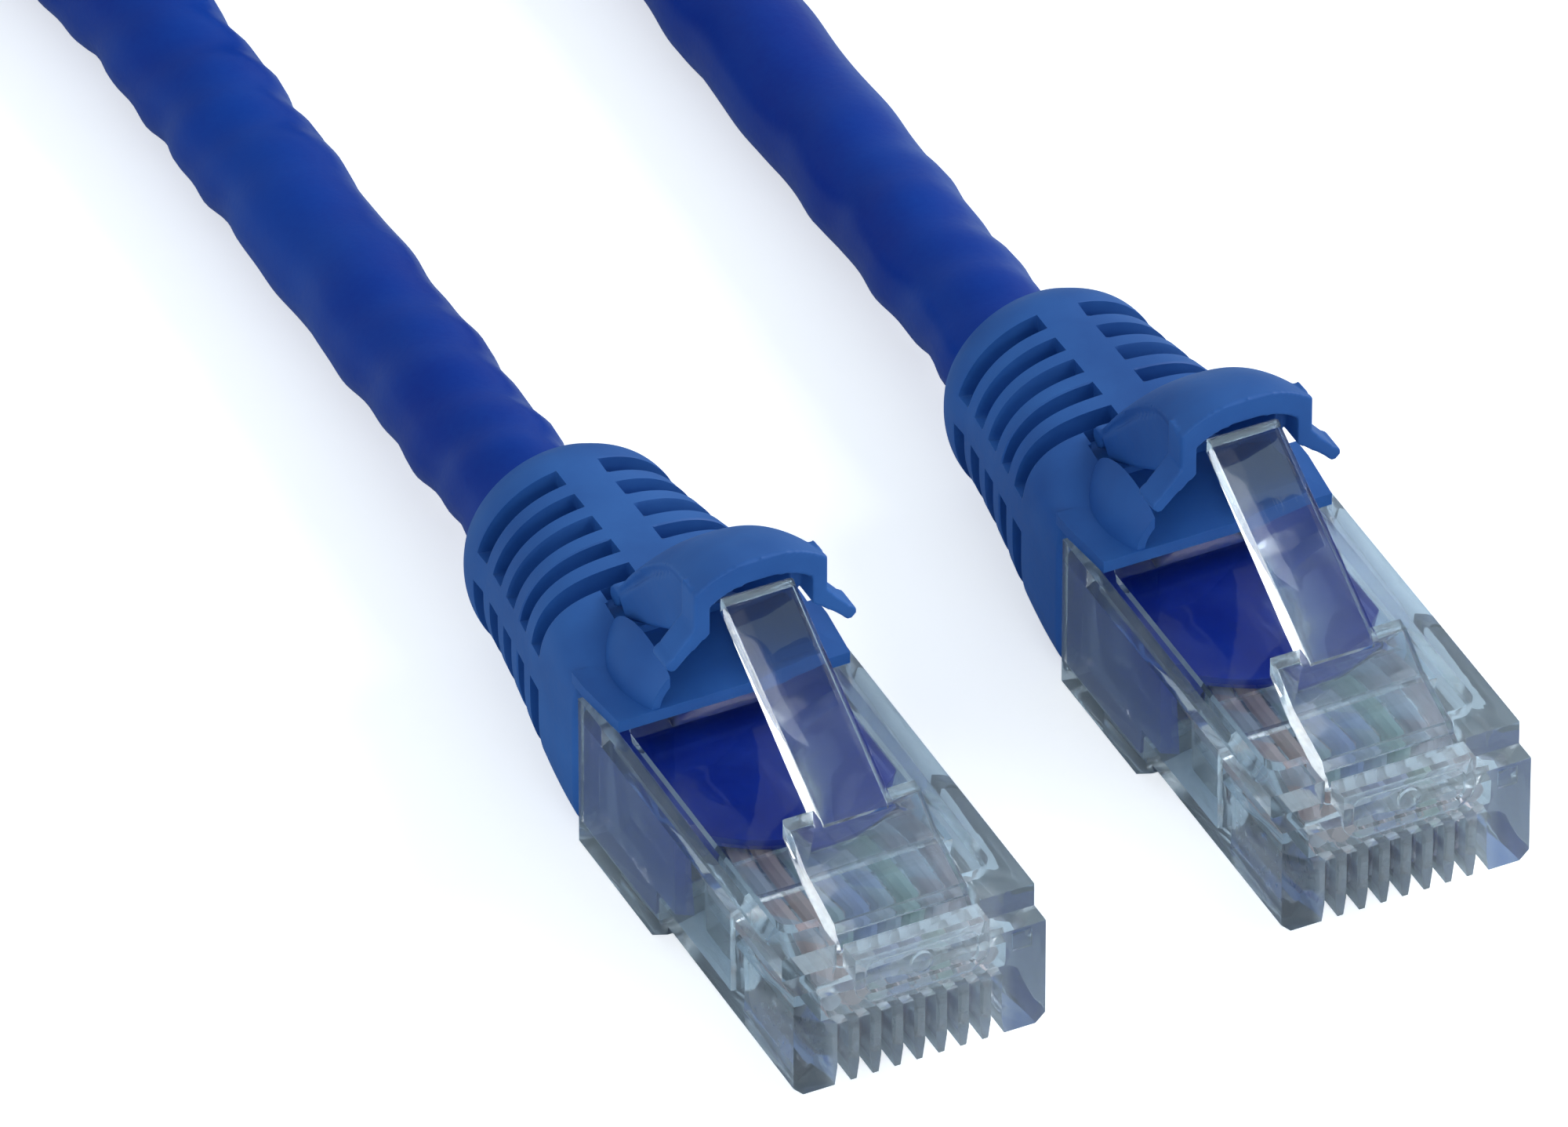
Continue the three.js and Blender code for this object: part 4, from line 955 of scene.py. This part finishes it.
# Hood: a springy arch of the same vinyl, hinged at its back, which keeps the latch's tip from
# catching. Its front rim is thick, with upright sides that end in two small flared wings.
# Its stations: place, height of the crown, half width, and how far the sides drop below the crown.
HOOD_STATIONS = [
    (15.0, 15.9, 3.1, 1.0), (16.6, 15.65, 2.9, 1.0), (18.4, 14.9, 2.65, 0.9),
    (20.2, 13.6, 2.55, 0.8), (22.2, 11.5, 2.5, 0.6), (24.0, 9.0, 2.5, 0.3),
]
HOOD_FRONT, HOOD_LENGTH, HOOD_STEPS, HOOD_ACROSS = 15.0, 9.0, 40, 24
HOOD_THICKNESS, SIDE_THICKNESS, HOOD_ROUNDNESS = 1.15, 0.35, 2.6
RIM_REAR, WALL_INNER, WALL_OUTER = 16.35, 1.95, 2.6
BEAD_SIDE, BEAD_HEIGHT, BEAD_RADIUS = 4.1, 11.6, 0.33
HINGE_PLACE, HINGE_HEIGHT, HINGE_HALF, HINGE_RADIUS = 24.0, 8.4, 2.5, 0.5
SIDE_WALL = [
    (16.3, 14.2), (18.4, 13.5), (20.2, 12.2), (22.2, 10.1), (23.5, 8.8), (22.7, 8.1), (20.5, 9.3),
    (18.5, 10.5), (17.0, 11.8), (16.3, 12.9),
]


def mould_over(piece, grain, passes):
    """Makes one skin of a piece's joined forms and softens its edges, as in a soft moulding."""
    use(piece, "REMESH", mode="VOXEL", voxel_size=grain)
    use(piece, "SMOOTH", factor=0.5, iterations=passes)


verts, faces = [], []
for step in range(HOOD_STEPS + 1):
    y = HOOD_FRONT + HOOD_LENGTH * step / HOOD_STEPS
    top, half, drop = station_at(HOOD_STATIONS, y)
    for side in (0, 1):
        for k in range(HOOD_ACROSS + 1):
            u = 2 * k / HOOD_ACROSS - 1
            reach = half - SIDE_THICKNESS * side
            height = top - HOOD_THICKNESS * side - drop * abs(u) ** HOOD_ROUNDNESS
            verts.append((u * reach, y, height))
row = 2 * (HOOD_ACROSS + 1)
for step in range(HOOD_STEPS):
    for k in range(HOOD_ACROSS):
        for side in (0, 1):
            a = step * row + side * (HOOD_ACROSS + 1) + k
            faces.append((a, a + 1, a + 1 + row, a + row))
    for k in (0, HOOD_ACROSS):
        a = step * row + k
        b = a + HOOD_ACROSS + 1
        faces.append((a, b, b + row, a + row))
for step in (0, HOOD_STEPS):
    for k in range(HOOD_ACROSS):
        a = step * row + k
        b = a + HOOD_ACROSS + 1
        faces.append((a, a + 1, b + 1, b))
hood_mesh = bpy.data.meshes.new("boot_hood")
hood_mesh.from_pydata(verts, [], faces)
hood = bpy.data.objects.new("boot_hood", hood_mesh)
bpy.context.scene.collection.objects.link(hood)
face_outwards(hood)
wing = [
    (3.1, 14.95), (2.4, 14.6), (2.4, 12.65), (4.0, 11.35), (4.3, 11.75), (3.1, 13.15),
]
combine(hood, [
    outline_piece("wall_right", SIDE_WALL, "X", WALL_INNER, WALL_OUTER),
    outline_piece("wall_left", SIDE_WALL, "X", -WALL_OUTER, -WALL_INNER),
    outline_piece("skirt_right", wing, "Y", HOOD_FRONT, RIM_REAR),
    outline_piece("skirt_left", mirror_outline(wing), "Y", HOOD_FRONT, RIM_REAR),
    rod_piece(
        "bead_right", BEAD_RADIUS, (BEAD_SIDE, HOOD_FRONT, BEAD_HEIGHT),
        (BEAD_SIDE, RIM_REAR, BEAD_HEIGHT), sides=20),
    rod_piece(
        "bead_left", BEAD_RADIUS, (-BEAD_SIDE, HOOD_FRONT, BEAD_HEIGHT),
        (-BEAD_SIDE, RIM_REAR, BEAD_HEIGHT), sides=20),
    rod_piece(
        "hood_root", HINGE_RADIUS, (-HINGE_HALF, HINGE_PLACE, HINGE_HEIGHT),
        (HINGE_HALF, HINGE_PLACE, HINGE_HEIGHT), sides=24),
], "UNION")
mould_over(hood, 0.1, 2)
put_on_plugs(hood, "boot_hood", boot_vinyl, "hood", "hood_{}", smooth=0)
